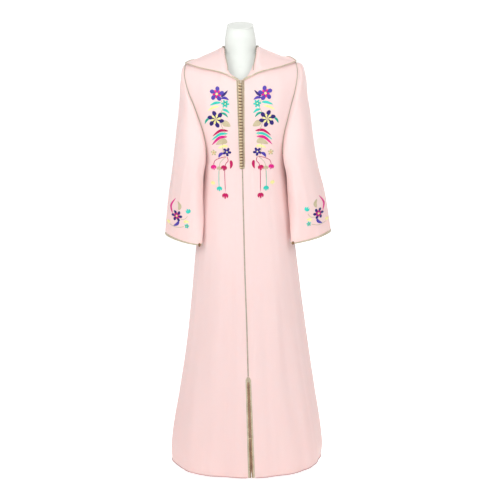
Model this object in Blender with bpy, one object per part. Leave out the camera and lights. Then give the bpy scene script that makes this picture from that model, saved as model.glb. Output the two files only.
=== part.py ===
"""Djellaba robe with a laid-back hood, on a limbless dress form.

Metres, +Z up. The robe faces -Y and the wearer's left is +X. The origin is the centre of the
underside of the form's base. The robe is a set of thin walls cut like the real pieces: two
fronts, a back, two sleeves and a hood in two halves, all worked out from rows of sections.
"""
import math
from collections import namedtuple
from functools import lru_cache

import bmesh
import bpy
from mathutils import Vector
from mathutils.bvhtree import BVHTree
from mathutils.interpolate import poly_3d_calc

# ---------------------------------------------------------------- driving dimensions (metres)
WALL = 0.0016                 # cloth, with its facing, as one wall
SEAM = 0.0003                 # gap between two pieces that are sewn together
REST = 0.0003                 # gap between a trim and the cloth that it lies on

HEM_HEIGHT = 0.018            # hem above the floor
UNDERARM_HEIGHT = 1.068
CHEST_HEIGHT = 1.270          # above this height the panels turn in to the shoulders
NECK_POINT = Vector((0.057, 0.0, 1.447))      # where the shoulder seam meets the neckline
SHOULDER_TIP = Vector((0.183, 0.0, 1.392))    # where the shoulder seam meets the sleeve
FRONT_NECK_BASE = Vector((0.0, -0.052, 1.398))
BACK_NECK_BASE = Vector((0.0, 0.064, 1.432))
SHOULDER_ROUNDNESS = 2.0      # exponent of the arc from the chest up to the shoulder seam

SLIT_TOP = 0.356              # height where the front slit starts
SLIT_WIDTH = 0.003            # its width at the hem
FOLD_DEPTH = 0.0042           # half the height of the skirt's soft folds at the hem

PLACKET_TOP = 1.340
PLACKET_BOTTOM = 1.053
PLACKET_SIDES = {"right": (-0.0163, -0.0100), "left": (0.0126, 0.0085)}   # x at top, x at bottom
PLACKET_THICKNESS = 0.0014
PLACKET_POINT = 0.009         # height of the point at its foot
BUTTON_COUNT = 29
BUTTON_TOP = 1.329
BUTTON_PITCH = 0.0096
BUTTON_X = -0.0030            # the knots sit towards the wearer's right edge
BUTTON_SIZE = Vector((0.0050, 0.0024, 0.0026))  # half width, half depth, half height

FRONT_CORD_WIDTH = 0.0040
FRONT_CORD_THICKNESS = 0.0020
SLIT_BRAID_WIDTHS = (0.0086, 0.0096)          # at the slit's top, at the hem
SLIT_BRAID_THICKNESS = 0.0016
SLIT_BRAID_POINT = 0.006      # how far the braids meet above the slit
HOOD_BRAID_WIDTH = 0.0055
HOOD_BRAID_THICKNESS = 0.0020
CUFF_BRAID_WIDTH = 0.0060
CUFF_BRAID_THICKNESS = 0.0014
ARMHOLE_CORD_RADIUS = 0.0013
NECK_CORD_RADIUS = 0.0014

HOOD_LIFT = 0.0060            # the hood's visible side above the cloth that it lies on
HOOD_SEAM_LIFT = 0.0036       # the same where it is sewn to the neckline
HOOD_RISE = 0.012             # how far from the seam it reaches its full lift
BASE_RADIUS = 0.160
BASE_HEIGHT = 0.014
POLE_RADIUS = 0.0175
CAP_TILT = math.radians(16.0)
CAP_CENTRE = Vector((0.0, 0.002, 1.5165))
CAP_RADII = (0.0445, 0.0480)
CAP_THICKNESS = 0.0035

FRONT_COLUMNS = 10            # faces from the centre front to the side seam
BACK_COLUMNS = 10             # faces from the centre back to the side seam
NECK_COLUMN = 3               # the column that ends at the neck point
EDGE_COSINE = 0.85            # a point seen at a flatter slant from a panel is past its edge
LIFT_PASSES = 2               # rounds of moving a point off the cloth, which can bend under it
STEEPEST_LIFT = 0.8           # least cosine between a lift's direction and the face's normal
STEEPEST_CORD = 0.5           # the same for a cord that lies in the angle of a seam
RING_SPACING = 1.25           # above 1 sets rings and rows closer together near their seam
BRAID_EDGE = 0.6              # height of a braid's edges as a share of its thickness
PLACKET_TIP = 0.25            # half width at the placket's foot as a share of that above it
SLIT_TIP = 0.3                # width of a slit braid's upper end as a share of its full width
SLIT_FADE = 6                 # exponent by which the slit's opening fades out to the side
MOST_BRAID = 0.45             # the most that the hood's braid takes of a short section
LOWER_ROWS = (HEM_HEIGHT, 0.10, 0.19, 0.28, SLIT_TOP, 0.45, 0.55, 0.65, 0.75, 0.84, 0.92, 1.00,
              UNDERARM_HEIGHT)
MIDDLE_ROWS = (1.082, 1.11, 1.15, 1.21, CHEST_HEIGHT)
UPPER_STEPS = 6
SLEEVE_RINGS = 12
SLEEVE_CLEAR = 0.004          # least distance of a hanging sleeve from the body
HOOD_COLUMNS = 20
HOOD_STEPS = 14

# ------------------------------------------------------------------ sections of the body
# sway is how far the section's middle lies to the wearer's left, squareness the exponent of
# its outline, and fold the share of FOLD_DEPTH that its folds reach.
Section = namedtuple("Section", "height half_width front back sway squareness fold")
BODY = [
    Section(0.018, 0.272, 0.232, 0.222, -0.0040, 2.35, 1.00),
    Section(0.140, 0.260, 0.219, 0.208, -0.0020, 2.32, 0.85),
    Section(0.290, 0.235, 0.200, 0.188, 0.0020, 2.28, 0.65),
    Section(0.440, 0.212, 0.181, 0.168, 0.0050, 2.25, 0.48),
    Section(0.580, 0.194, 0.164, 0.150, 0.0055, 2.22, 0.32),
    Section(0.730, 0.177, 0.147, 0.132, 0.0055, 2.20, 0.18),
    Section(0.850, 0.163, 0.134, 0.116, 0.0060, 2.20, 0.08),
    Section(0.950, 0.151, 0.124, 0.101, 0.0065, 2.20, 0.03),
    Section(1.068, 0.140, 0.119, 0.088, 0.0070, 2.25, 0.00),
    Section(1.150, 0.151, 0.126, 0.089, 0.0070, 2.28, 0.00),
    Section(1.210, 0.165, 0.130, 0.093, 0.0065, 2.30, 0.00),
    Section(1.270, 0.181, 0.129, 0.096, 0.0040, 2.30, 0.00),
]

# half_width of the cloth where the armhole cuts it, up to the shoulder tip
Armhole = namedtuple("Armhole", "height half_width")
ARMHOLE = [
    Armhole(1.068, 0.1400),
    Armhole(1.082, 0.1310),
    Armhole(1.110, 0.1280),
    Armhole(1.140, 0.1298),
    Armhole(1.177, 0.1358),
    Armhole(1.216, 0.1470),
    Armhole(1.270, 0.1630),
    Armhole(1.300, 0.1730),
    Armhole(1.340, 0.1830),
    Armhole(1.370, 0.1862),
    Armhole(1.392, 0.1830),
]

# the V of the neckline, from its point up to the neck point
Neckline = namedtuple("Neckline", "half_width height")
NECKLINE = [
    Neckline(0.000, 1.344),
    Neckline(0.014, 1.351),
    Neckline(0.0275, 1.361),
    Neckline(0.038, 1.380),
    Neckline(0.049, 1.408),
    Neckline(0.055, 1.430),
    Neckline(0.057, 1.447),
]

# how far the centre front seam drifts to the wearer's left on its way down
Drift = namedtuple("Drift", "height shift")
FRONT_DRIFT = [
    Drift(0.018, 0.0130),
    Drift(0.361, 0.0075),
    Drift(0.530, 0.0055),
    Drift(0.740, 0.0020),
    Drift(1.060, 0.0000),
    Drift(1.447, 0.0000),
]

# ------------------------------------------------------------------ sections of a sleeve
# Each ring is an oval between its outer and its inner point, of half-thickness depth. yaw
# turns the oval, so that the inner fold of the hanging sleeve comes forward.
Ring = namedtuple("Ring", "place out_x out_y out_z in_x in_y in_z depth yaw squareness")
SLEEVE = [
    Ring(0.00, 0.183, 0.000, 1.392, 0.1400, 0.000, 1.068, 0.070, 0.0, 2.00),
    Ring(0.05, 0.1970, 0.003, 1.382, 0.1400, -0.013, 1.059, 0.072, -4.0, 2.00),
    Ring(0.12, 0.2060, 0.006, 1.345, 0.1405, -0.030, 1.043, 0.074, -8.0, 2.00),
    Ring(0.25, 0.2130, 0.010, 1.285, 0.1395, -0.052, 1.010, 0.070, -2.0, 2.00),
    Ring(0.38, 0.2220, 0.012, 1.220, 0.1400, -0.066, 0.977, 0.064, 8.0, 2.00),
    Ring(0.50, 0.2320, 0.014, 1.150, 0.1430, -0.077, 0.942, 0.056, 18.0, 1.96),
    Ring(0.62, 0.2450, 0.015, 1.065, 0.1460, -0.087, 0.908, 0.048, 28.0, 1.90),
    Ring(0.75, 0.2620, 0.013, 0.980, 0.1490, -0.096, 0.871, 0.041, 36.0, 1.84),
    Ring(0.88, 0.2760, 0.010, 0.896, 0.1525, -0.104, 0.835, 0.035, 40.0, 1.80),
    Ring(1.00, 0.2880, 0.007, 0.820, 0.1565, -0.110, 0.799, 0.030, 42.0, 1.75),
]
ARMHOLE_FADE = 0.30           # place by which a ring no longer shows the armhole's own curve

# how far both sleeves lean to the wearer's left
SLEEVE_LEAN = [
    Drift(0.806, 0.0130),
    Drift(0.950, 0.0095),
    Drift(1.068, 0.0070),
    Drift(1.210, 0.0065),
    Drift(1.300, 0.0060),
    Drift(1.392, 0.0040),
]

# ------------------------------------------------------------------ sections of the hood
# place runs from the front corner at the point of the V, round the shoulder, to the centre
# back. Each section goes from the neckline seam over its middle to the free edge. At the
# back its middle is the bottom of the bag. arch lifts a section between its ends, and puff
# rounds out the outer layer of the bag. A y of ON_FRONT lies on the front panel.
HoodRow = namedtuple("HoodRow", "place seam_x seam_y seam_z mid_x mid_y mid_z "
                                "edge_x edge_y edge_z arch puff")
ON_FRONT = None
HOOD = [
    HoodRow(0.00, 0.0070, ON_FRONT, 1.3460, 0.0085, ON_FRONT, 1.3430, 0.010, ON_FRONT, 1.3400,
            0.000, 0.000),
    HoodRow(0.08, 0.0260, ON_FRONT, 1.3575, 0.0285, ON_FRONT, 1.3545, 0.031, ON_FRONT, 1.3515,
            0.000, 0.000),
    HoodRow(0.14, 0.0405, ON_FRONT, 1.3700, 0.0450, ON_FRONT, 1.3650, 0.050, ON_FRONT, 1.3605,
            0.000, 0.000),
    HoodRow(0.22, 0.0435, ON_FRONT, 1.3900, 0.0630, ON_FRONT, 1.3820, 0.083, ON_FRONT, 1.3705,
            0.002, 0.000),
    HoodRow(0.31, 0.0510, ON_FRONT, 1.4120, 0.0890, ON_FRONT, 1.4000, 0.127, ON_FRONT, 1.3790,
            0.003, 0.000),
    HoodRow(0.37, 0.0560, ON_FRONT, 1.4320, 0.1040, ON_FRONT, 1.4150, 0.155, ON_FRONT, 1.3870,
            0.003, 0.000),
    HoodRow(0.43, 0.0577, -0.012, 1.4450, 0.1170, -0.014, 1.4270, 0.178, -0.018, 1.3960,
            0.003, 0.000),
    HoodRow(0.49, 0.0580, 0.003, 1.4495, 0.1220, 0.012, 1.4290, 0.186, 0.006, 1.4000,
            0.002, 0.000),
    HoodRow(0.56, 0.0560, 0.0160, 1.4460, 0.1150, 0.045, 1.4240, 0.164, 0.046, 1.4090,
            0.000, 0.002),
    HoodRow(0.66, 0.0490, 0.0345, 1.4420, 0.1020, 0.092, 1.3780, 0.132, 0.088, 1.4060,
            0.000, 0.006),
    HoodRow(0.78, 0.0353, 0.0520, 1.4375, 0.0760, 0.116, 1.2780, 0.088, 0.122, 1.3900,
            0.000, 0.010),
    HoodRow(0.90, 0.0170, 0.0628, 1.4348, 0.0380, 0.121, 1.1650, 0.040, 0.146, 1.3730,
            0.000, 0.012),
    HoodRow(1.00, 0.0000, 0.0655, 1.4344, 0.0000, 0.120, 1.0900, 0.000, 0.152, 1.3680,
            0.000, 0.010),
]

# ------------------------------------------------------------------ the form under the robe
# The shoulders narrow to a ridge just under the shoulder seams, on which the robe rests.
Slice = namedtuple("Slice", "height half_width front back squareness")
TORSO = [
    Slice(0.860, 0.1300, 0.104, 0.090, 2.00),
    Slice(0.868, 0.1380, 0.110, 0.096, 2.00),
    Slice(0.920, 0.1360, 0.110, 0.094, 2.00),
    Slice(1.000, 0.1270, 0.106, 0.082, 2.00),
    Slice(1.068, 0.1240, 0.105, 0.074, 2.00),
    Slice(1.150, 0.1300, 0.112, 0.074, 2.00),
    Slice(1.220, 0.1420, 0.114, 0.078, 2.00),
    Slice(1.290, 0.1560, 0.108, 0.078, 2.00),
    Slice(1.345, 0.1640, 0.092, 0.068, 2.00),
    Slice(1.375, 0.1620, 0.076, 0.057, 2.00),
    Slice(1.390, 0.1610, 0.066, 0.052, 1.90),
    Slice(1.400, 0.1580, 0.056, 0.049, 1.80),
    Slice(1.410, 0.1360, 0.048, 0.045, 1.70),
    Slice(1.420, 0.1132, 0.040, 0.042, 1.60),
    Slice(1.430, 0.0895, 0.033, 0.040, 1.40),
    Slice(1.440, 0.0520, 0.0315, 0.040, 1.90),
    Slice(1.452, 0.0500, 0.036, 0.043, 2.00),
    Slice(1.478, 0.0485, 0.043, 0.047, 2.00),
]
TORSO_SIDES = 32
NECK_STEPS = 3                # rings from the last slice up to the tilted cap


# ================================================================== tables and small helpers
def row_at(rows, place):
    """The row of a table at a place, every column of it by cubic interpolation."""
    kind = type(rows[0])
    keys = [row[0] for row in rows]
    place = min(max(place, keys[0]), keys[-1])
    low = max(i for i in range(len(rows) - 1) if keys[i] <= place)
    span = keys[low + 1] - keys[low]
    part = (place - keys[low]) / span

    def slope(index, column):
        before, after = max(index - 1, 0), min(index + 1, len(rows) - 1)
        return (rows[after][column] - rows[before][column]) / (keys[after] - keys[before])

    values = [place]
    for column in range(1, len(kind._fields)):
        start, end = rows[low][column], rows[low + 1][column]
        values.append((2 * part ** 3 - 3 * part ** 2 + 1) * start
                      + (part ** 3 - 2 * part ** 2 + part) * span * slope(low, column)
                      + (3 * part ** 2 - 2 * part ** 3) * end
                      + (part ** 3 - part ** 2) * span * slope(low + 1, column))
    return kind(*values)


def mix(start, end, part):
    return start + (end - start) * part


def ease(part):
    """0 to 1 with level ends."""
    part = min(max(part, 0.0), 1.0)
    return part * part * (3 - 2 * part)


def power(value, exponent):
    return math.copysign(abs(value) ** exponent, value)


def spline(points, part):
    """A point of the smooth curve through a few points, part from 0 to 1."""
    place = min(max(part, 0.0), 1.0) * (len(points) - 1)
    low = min(int(place), len(points) - 2)
    part = place - low
    before = points[max(low - 1, 0)]
    start, end = points[low], points[low + 1]
    after = points[min(low + 2, len(points) - 1)]
    return 0.5 * (2 * start + (end - before) * part
                  + (2 * before - 5 * start + 4 * end - after) * part ** 2
                  + (3 * start - before - 3 * end + after) * part ** 3)


# ================================================================== the surface of the body
FACES = {"front": -1.0, "back": 1.0}      # the sign of y on each face
SIDES = {"left": 1.0, "right": -1.0}      # the sign of x on each side


def fold_height(angle, fold):
    """The skirt's soft uneven folds, at an angle round the body from the centre front."""
    return FOLD_DEPTH * fold * (0.55 * math.cos(9 * angle) + 0.45 * math.cos(14 * angle))


def centre_shift(face, section, share):
    """How far a section's point lies to the wearer's left of its symmetric place."""
    start = row_at(FRONT_DRIFT, section.height).shift if face == "front" else section.sway
    return mix(start, section.sway, share)


def slit_gap(height):
    """Half the opening of the front slit at a height."""
    return 0.5 * SLIT_WIDTH * max(0.0, (SLIT_TOP - height) / (SLIT_TOP - HEM_HEIGHT))


def ring_point(face, side, share, height):
    """The body's outer surface up to the chest. share runs from the centre line to the edge."""
    section = row_at(BODY, height)
    exponent = section.squareness
    edge = section.half_width
    if height > UNDERARM_HEIGHT:
        edge = min(row_at(ARMHOLE, height).half_width, edge)
    edge_angle = math.asin(min(1.0, (edge / section.half_width) ** (exponent / 2)))
    angle = share * edge_angle
    depth = section.front if face == "front" else section.back
    x = section.half_width * math.sin(angle) ** (2 / exponent)
    y = depth * abs(math.cos(angle)) ** (2 / exponent)
    round_angle = angle if face == "front" else math.pi - angle
    fold = fold_height(round_angle, section.fold)
    x += fold * math.sin(angle)
    y += fold * math.cos(angle)
    if face == "front":
        x += slit_gap(height) * (1 - share) ** SLIT_FADE
    return Vector((SIDES[side] * x + centre_shift(face, section, share), FACES[face] * y, height))


def top_point(face, share):
    """Where a column would end on a high round neckline or on the shoulder seam."""
    neck_share = NECK_COLUMN / FRONT_COLUMNS
    if share >= neck_share:
        return NECK_POINT.lerp(SHOULDER_TIP, (share - neck_share) / (1 - neck_share))
    base = FRONT_NECK_BASE if face == "front" else BACK_NECK_BASE
    turn = share / neck_share * math.pi / 2
    return Vector((NECK_POINT.x * math.sin(turn), base.y * math.cos(turn),
                   mix(base.z, NECK_POINT.z, 1 - math.cos(turn))))


def shoulder_point(face, side, share, rise):
    """The surface above the chest. rise is the share of the height up to the column's end."""
    start = ring_point(face, "left", share, CHEST_HEIGHT)
    end = top_point(face, share)
    rise = min(max(rise, 0.0), 1.0)
    run = 1 - (1 - rise ** SHOULDER_ROUNDNESS) ** (1 / SHOULDER_ROUNDNESS)
    height = mix(CHEST_HEIGHT, end.z, rise)
    section = row_at(BODY, CHEST_HEIGHT)
    symmetric = start.x - centre_shift(face, section, share)
    x = mix(symmetric, end.x, rise)
    edge_line = mix(row_at(ARMHOLE, CHEST_HEIGHT).half_width, SHOULDER_TIP.x, rise)
    edge_height = mix(CHEST_HEIGHT, SHOULDER_TIP.z, rise)
    x += share ** 3 * (row_at(ARMHOLE, edge_height).half_width - edge_line)
    shift = centre_shift(face, section, share) * (1 - rise) ** 2
    return Vector((SIDES[side] * x + shift, mix(start.y, end.y, run), height))


def neckline_rise(share):
    """How far up its column the V of the neckline cuts the front."""
    low, high = 0.0, 1.0
    for _ in range(30):
        middle = (low + high) / 2
        point = shoulder_point("front", "left", share, middle)
        if point.z < row_at(NECKLINE, point.x).height:
            low = middle
        else:
            high = middle
    return low


# ================================================================== panels as grids of points
def half_panel(face, side, columns):
    """The outer points of half a panel, rows from the hem up, columns from the centre line."""
    shares = [j / columns for j in range(columns + 1)]
    rows = [[ring_point(face, side, share, height) for share in shares]
            for height in LOWER_ROWS + MIDDLE_ROWS]
    limits = [neckline_rise(share) if face == "front" and j < NECK_COLUMN else 1.0
              for j, share in enumerate(shares)]
    for step in range(1, UPPER_STEPS + 1):
        turn = math.sin(math.pi / 2 * step / UPPER_STEPS)
        rows.append([shoulder_point(face, side, share, limit * turn)
                     for share, limit in zip(shares, limits)])
    for i in range(len(LOWER_ROWS)):
        rows[i][-1].y = FACES[face] * SEAM / 2
    for j in range(NECK_COLUMN, columns + 1):
        rows[-1][j].y = FACES[face] * SEAM / 2
    if face == "front":
        for line in rows:
            line[0].x += SIDES[side] * SEAM / 2
    return rows


@lru_cache(maxsize=None)
def panel_grid(name):
    """The outer points of a panel: front_left, front_right or back."""
    if name != "back":
        return half_panel("front", name.split("_")[1], FRONT_COLUMNS)
    left, right = (half_panel("back", side, BACK_COLUMNS) for side in ("left", "right"))
    return [list(reversed(part)) + other[1:] for part, other in zip(right, left)]


def grid_triangles(rows, columns, wrap):
    """Index triples of a grid's triangles, two to each of its faces."""
    out = []
    for i in range(rows - 1):
        for j in range(columns if wrap else columns - 1):
            k = (j + 1) % columns
            a, b, c, d = (i * columns + j, i * columns + k, (i + 1) * columns + k,
                          (i + 1) * columns + j)
            out += [(a, b, c), (a, c, d)]
    return out


@lru_cache(maxsize=None)
def cloth_mesh(name):
    """A panel's outer points, its triangles and its outward normals at the points."""
    grid = panel_grid(name)
    normals = grid_normals(grid, False, Vector((0.0, 1.0 if name == "back" else -1.0, 0.0)))
    return ([point for line in grid for point in line],
            grid_triangles(len(grid), len(grid[0]), False),
            [normal for line in normals for normal in line])


@lru_cache(maxsize=None)
def cloth_tree(name):
    """A search tree of a panel's outer faces."""
    points, triangles, _ = cloth_mesh(name)
    return BVHTree.FromPolygons(points, triangles)


def rounded_normal(name, point, index):
    """The normal at a point of one triangle, blended from the normals at its corners."""
    points, triangles, normals = cloth_mesh(name)
    corners = triangles[index]
    weights = poly_3d_calc([points[k] for k in corners], point)
    return sum((normals[k] * weight for k, weight in zip(corners, weights)),
               Vector()).normalized()


def panel_outward(name, normal):
    """A panel's face normal, turned to the outside."""
    sign = 1.0 if name == "back" else -1.0
    return normal if normal.y * sign > 0 else -normal


def front_at(x, height):
    """A point of the front's outer faces and its normal."""
    for name in ("front_left", "front_right"):
        point, normal, _, _ = cloth_tree(name).ray_cast(Vector((x, -1.0, height)),
                                                        Vector((0.0, 1.0, 0.0)))
        if point:
            return point, panel_outward(name, normal)
    raise ValueError("no front at x %.4f, height %.4f" % (x, height))


def nearest_cloth(point):
    """The panel nearest to a point: its name, the place on it, its normal and the distance."""
    best = None
    for name in ("front_left", "front_right", "back"):
        near, normal, index, distance = cloth_tree(name).find_nearest(point)
        if best is None or distance < best[-1]:
            best = (name, near, panel_outward(name, normal), index, distance)
    return best


def lift_off(point, lift, open_edges=False):
    """A point, moved off the nearest panel where it would be nearer to it than lift.

    With open_edges, a point past the edge of a panel is kept clear of that edge only.
    """
    for _ in range(LIFT_PASSES):
        name, near, normal, index, distance = nearest_cloth(point)
        height = (point - near).dot(normal)
        if open_edges and abs(height) < EDGE_COSINE * distance:
            point = near + (point - near) * max(1.0, lift / distance)
        elif height < 0 or distance < lift:
            away = rounded_normal(name, near, index)
            point = point + away * ((lift - height) / max(away.dot(normal), STEEPEST_LIFT))
    return point


@lru_cache(maxsize=None)
def armhole_line(side):
    """The armhole once round a panel edge: tip, front, underarm, back. With its turns."""
    base = len(LOWER_ROWS) - 1
    front = [line[-1] for line in reversed(panel_grid("front_" + side)[base:])]
    column = -1 if side == "left" else 0
    back = [line[column] for line in panel_grid("back")[base:]]
    line, turns = [], []
    for part, start in ((front, 0.0), (back, math.pi)):
        lengths = [0.0]
        for before, after in zip(part, part[1:]):
            lengths.append(lengths[-1] + (after - before).length)
        for point, length in list(zip(part, lengths))[:-1]:
            line.append(Vector((point.x, point.y, point.z)))
            turns.append(start + math.pi * length / lengths[-1])
    return line, turns


# ================================================================== meshes
def material(name, colour, roughness, metallic=0.0):
    out = bpy.data.materials.new(name)
    out.use_nodes = True
    shader = out.node_tree.nodes["Principled BSDF"]
    shader.inputs["Base Color"].default_value = (*colour, 1.0)
    shader.inputs["Roughness"].default_value = roughness
    shader.inputs["Metallic"].default_value = metallic
    return out


def finish(name, mesh_builder, look):
    """Make an object from a closed bmesh, with its faces pointing out."""
    bmesh.ops.remove_doubles(mesh_builder, verts=mesh_builder.verts, dist=1e-7)
    bmesh.ops.recalc_face_normals(mesh_builder, faces=mesh_builder.faces)
    mesh = bpy.data.meshes.new(name)
    mesh_builder.to_mesh(mesh)
    mesh_builder.free()
    mesh.shade_smooth()
    mesh.set_sharp_from_angle(angle=math.radians(50))
    mesh.materials.append(look)
    out = bpy.data.objects.new(name, mesh)
    bpy.context.scene.collection.objects.link(out)
    return out


def grid_normals(grid, wrap, outward):
    """Unit normals of a grid of points. outward tells their side at the grid's middle."""
    rows, columns = len(grid), len(grid[0])
    normals = []
    for i in range(rows):
        line = []
        for j in range(columns):
            along = grid[min(i + 1, rows - 1)][j] - grid[max(i - 1, 0)][j]
            if wrap:
                across = grid[i][(j + 1) % columns] - grid[i][j - 1]
            else:
                across = grid[i][min(j + 1, columns - 1)] - grid[i][max(j - 1, 0)]
            line.append(along.cross(across).normalized())
        normals.append(line)
    if normals[rows // 2][columns // 2].dot(outward) < 0:
        normals = [[-normal for normal in line] for line in normals]
    return normals


def flatten(normal, axis):
    """A normal turned into the plane of a seam, so that the seam's two walls stay apart."""
    out = normal.copy()
    out[axis] = 0.0
    return out.normalized()


def wall(name, outer, inner, wrap, look):
    """A closed wall between two grids of points."""
    builder = bmesh.new()
    rows, columns = len(outer), len(outer[0])
    layers = [[builder.verts.new(point) for line in grid for point in line]
              for grid in (outer, inner)]
    for layer in layers:
        for triple in grid_triangles(rows, columns, wrap):
            builder.faces.new([layer[index] for index in triple])
    borders = []
    for i in (0, rows - 1):
        borders += [(i * columns + j, i * columns + (j + 1) % columns)
                    for j in range(columns if wrap else columns - 1)]
    if not wrap:
        for j in (0, columns - 1):
            borders += [(i * columns + j, (i + 1) * columns + j) for i in range(rows - 1)]
    for a, b in borders:
        builder.faces.new((layers[0][a], layers[0][b], layers[1][b]))
        builder.faces.new((layers[0][a], layers[1][b], layers[1][a]))
    return finish(name, builder, look)


def sweep(name, rings, look):
    """A closed solid through rings of points, with flat ends."""
    builder = bmesh.new()
    columns = len(rings[0])
    points = [builder.verts.new(point) for ring in rings for point in ring]
    for triple in grid_triangles(len(rings), columns, True):
        builder.faces.new([points[index] for index in triple])
    ends = [builder.faces.new(points[:columns]), builder.faces.new(points[-columns:])]
    bmesh.ops.triangulate(builder, faces=ends)
    return finish(name, builder, look)


def ribbon(name, near, far, thickness, look, lift=REST):
    """A flat braid with a raised middle, between two lines of (point, normal) on the cloth."""
    rings = []
    for (start, start_out), (end, end_out) in zip(near, far):
        middle, middle_out = (start + end) / 2, (start_out + end_out).normalized()
        rings.append([start + start_out * lift, end + end_out * lift,
                      end + end_out * (lift + thickness * BRAID_EDGE),
                      middle + middle_out * (lift + thickness),
                      start + start_out * (lift + thickness * BRAID_EDGE)])
    return sweep(name, rings, look)


def path_directions(path):
    """Unit directions along a path."""
    last = len(path) - 1
    return [(path[min(i + 1, last)] - path[max(i - 1, 0)]).normalized() for i in range(last + 1)]


def round_cord(name, path, radius, look, sides=6):
    """A round cord along a path."""
    rings = []
    across = None
    for point, along in zip(path, path_directions(path)):
        guide = across or along.orthogonal()
        across = (guide - along * guide.dot(along)).normalized()
        other = along.cross(across)
        rings.append([point + (across * math.cos(2 * math.pi * k / sides)
                               + other * math.sin(2 * math.pi * k / sides)) * radius
                      for k in range(sides)])
    return sweep(name, rings, look)


# ================================================================== panels
def panel(name, look):
    """A front or the back, with its seam edges kept in their own planes."""
    grid = panel_grid(name)
    outward = Vector((0.0, 1.0 if name == "back" else -1.0, 0.0))
    normals = grid_normals(grid, False, outward)
    underarm_row = len(LOWER_ROWS) - 1
    last = len(grid[0]) - 1
    side_columns = (0, last) if name == "back" else (last,)
    inner = []
    for i, line in enumerate(grid):
        inner_line = []
        for j, point in enumerate(line):
            normal = normals[i][j]
            on_side_seam = i <= underarm_row and j in side_columns
            on_shoulder_seam = i == len(grid) - 1 and abs(point.y) < SEAM
            if on_side_seam or on_shoulder_seam:
                normal = flatten(normal, 1)
            if name != "back" and j == 0:
                normal = flatten(normal, 0)
            inner_line.append(point - normal * WALL)
        inner.append(inner_line)
    return wall(name, grid, inner, False, look)


# ================================================================== sleeves
def sleeve_shift(height):
    return row_at(SLEEVE_LEAN, height).shift


def oval_point(side, place, turn):
    """A point of a sleeve's plain oval ring. turn 0 is its outer point, pi its inner one."""
    ring = row_at(SLEEVE, place)
    outer = Vector((ring.out_x, ring.out_y, ring.out_z))
    inner = Vector((ring.in_x, ring.in_y, ring.in_z))
    yaw = math.radians(ring.yaw)
    forward = Vector((math.sin(yaw), -math.cos(yaw), 0.0))
    point = ((outer + inner) / 2
             + (outer - inner) / 2 * power(math.cos(turn), 2 / ring.squareness)
             + forward * ring.depth * power(math.sin(turn), 2 / ring.squareness))
    point.x = SIDES[side] * point.x + sleeve_shift(point.z)
    return point


def sleeve_places():
    """Places of a sleeve's rings. The last step is as long as the cuff's braid is wide."""
    drop = SLEEVE[-2].out_z - SLEEVE[-1].out_z
    braid_step = CUFF_BRAID_WIDTH / drop * (SLEEVE[-1].place - SLEEVE[-2].place)
    steps = SLEEVE_RINGS - 1
    return [(k / steps) ** RING_SPACING * (1 - braid_step) for k in range(steps + 1)] + [1.0]


@lru_cache(maxsize=None)
def sleeve_rings(side):
    """The outer points of a sleeve, ring by ring, from the armhole to the cuff."""
    line, turns = armhole_line(side)
    seam = Vector((SIDES[side] * 1.5 * SEAM, 0.0, 0.0))
    plain = [oval_point(side, 0.0, turn) for turn in turns]
    rings = []
    for place in sleeve_places():
        fade = 1 - ease(place / ARMHOLE_FADE)
        ring = [oval_point(side, place, turn) + (point + seam - start) * fade
                for turn, point, start in zip(turns, line, plain)]
        if rings:
            ring = [lift_off(point, SLEEVE_CLEAR, open_edges=True) for point in ring]
        rings.append(ring)
    return rings


def tube_normals(rings):
    """Normals of a tube of rings, pointing away from its middle line."""
    ring = rings[len(rings) // 2]
    half = len(ring) // 2
    return grid_normals(rings, True, ring[half] - ring[0])


def sleeve(side, look):
    rings = sleeve_rings(side)
    normals = tube_normals(rings)
    middle = sum(rings[0], Vector()) / len(rings[0])
    normals[0] = [flatten(point - middle, 0) for point in rings[0]]
    inner = [[point - normal * WALL for point, normal in zip(*pair)]
             for pair in zip(rings, normals)]
    return wall("sleeve_" + side, rings, inner, True, look)


def cuff_braid(side, look):
    """The braid sewn round the end of a sleeve."""
    rings = sleeve_rings(side)
    normals = tube_normals(rings)
    layers = [[[point + normal * offset for point, normal in zip(*pair)]
               for pair in list(zip(rings, normals))[-2:]]
              for offset in (REST + CUFF_BRAID_THICKNESS, REST)]
    return wall("cuff_braid_" + side, layers[0], layers[1], True, look)


def armhole_cord(side, look):
    """The cord over the armhole seam, from the underarm in front to the underarm behind."""
    line, _ = armhole_line(side)
    sleeve_out = tube_normals(sleeve_rings(side))[0]
    path = []
    for point, out in zip(line, sleeve_out):
        name = "back" if point.y > SEAM else "front_" + side
        cloth_out = panel_outward(name, cloth_tree(name).find_nearest(point)[1])
        between = (out + cloth_out).normalized()
        lift = (ARMHOLE_CORD_RADIUS + 4 * REST) / max(between.dot(cloth_out), STEEPEST_CORD)
        path.append(point + between * lift)
    under = min(range(len(path)), key=lambda index: line[index].z)
    skip = 2                  # points left out on each side of the underarm
    path = path[under + skip:] + path[:under - skip + 1]
    return round_cord("armhole_cord_" + side, path, ARMHOLE_CORD_RADIUS, look)


# ================================================================== hood
def settle(x, y, z):
    """A point of the hood's table, laid on the front panel where the table says so."""
    if y is ON_FRONT:
        y = front_at(x, z)[0].y
    return Vector((x, y, z))


@lru_cache(maxsize=None)
def settled_hood():
    """The hood's rows with every y worked out."""
    rows = []
    for row in HOOD:
        seam = settle(row.seam_x, row.seam_y, row.seam_z)
        middle = settle(row.mid_x, row.mid_y, row.mid_z)
        edge = settle(row.edge_x, row.edge_y, row.edge_z)
        rows.append(row._replace(seam_y=seam.y, mid_y=middle.y, edge_y=edge.y))
    return rows


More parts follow.
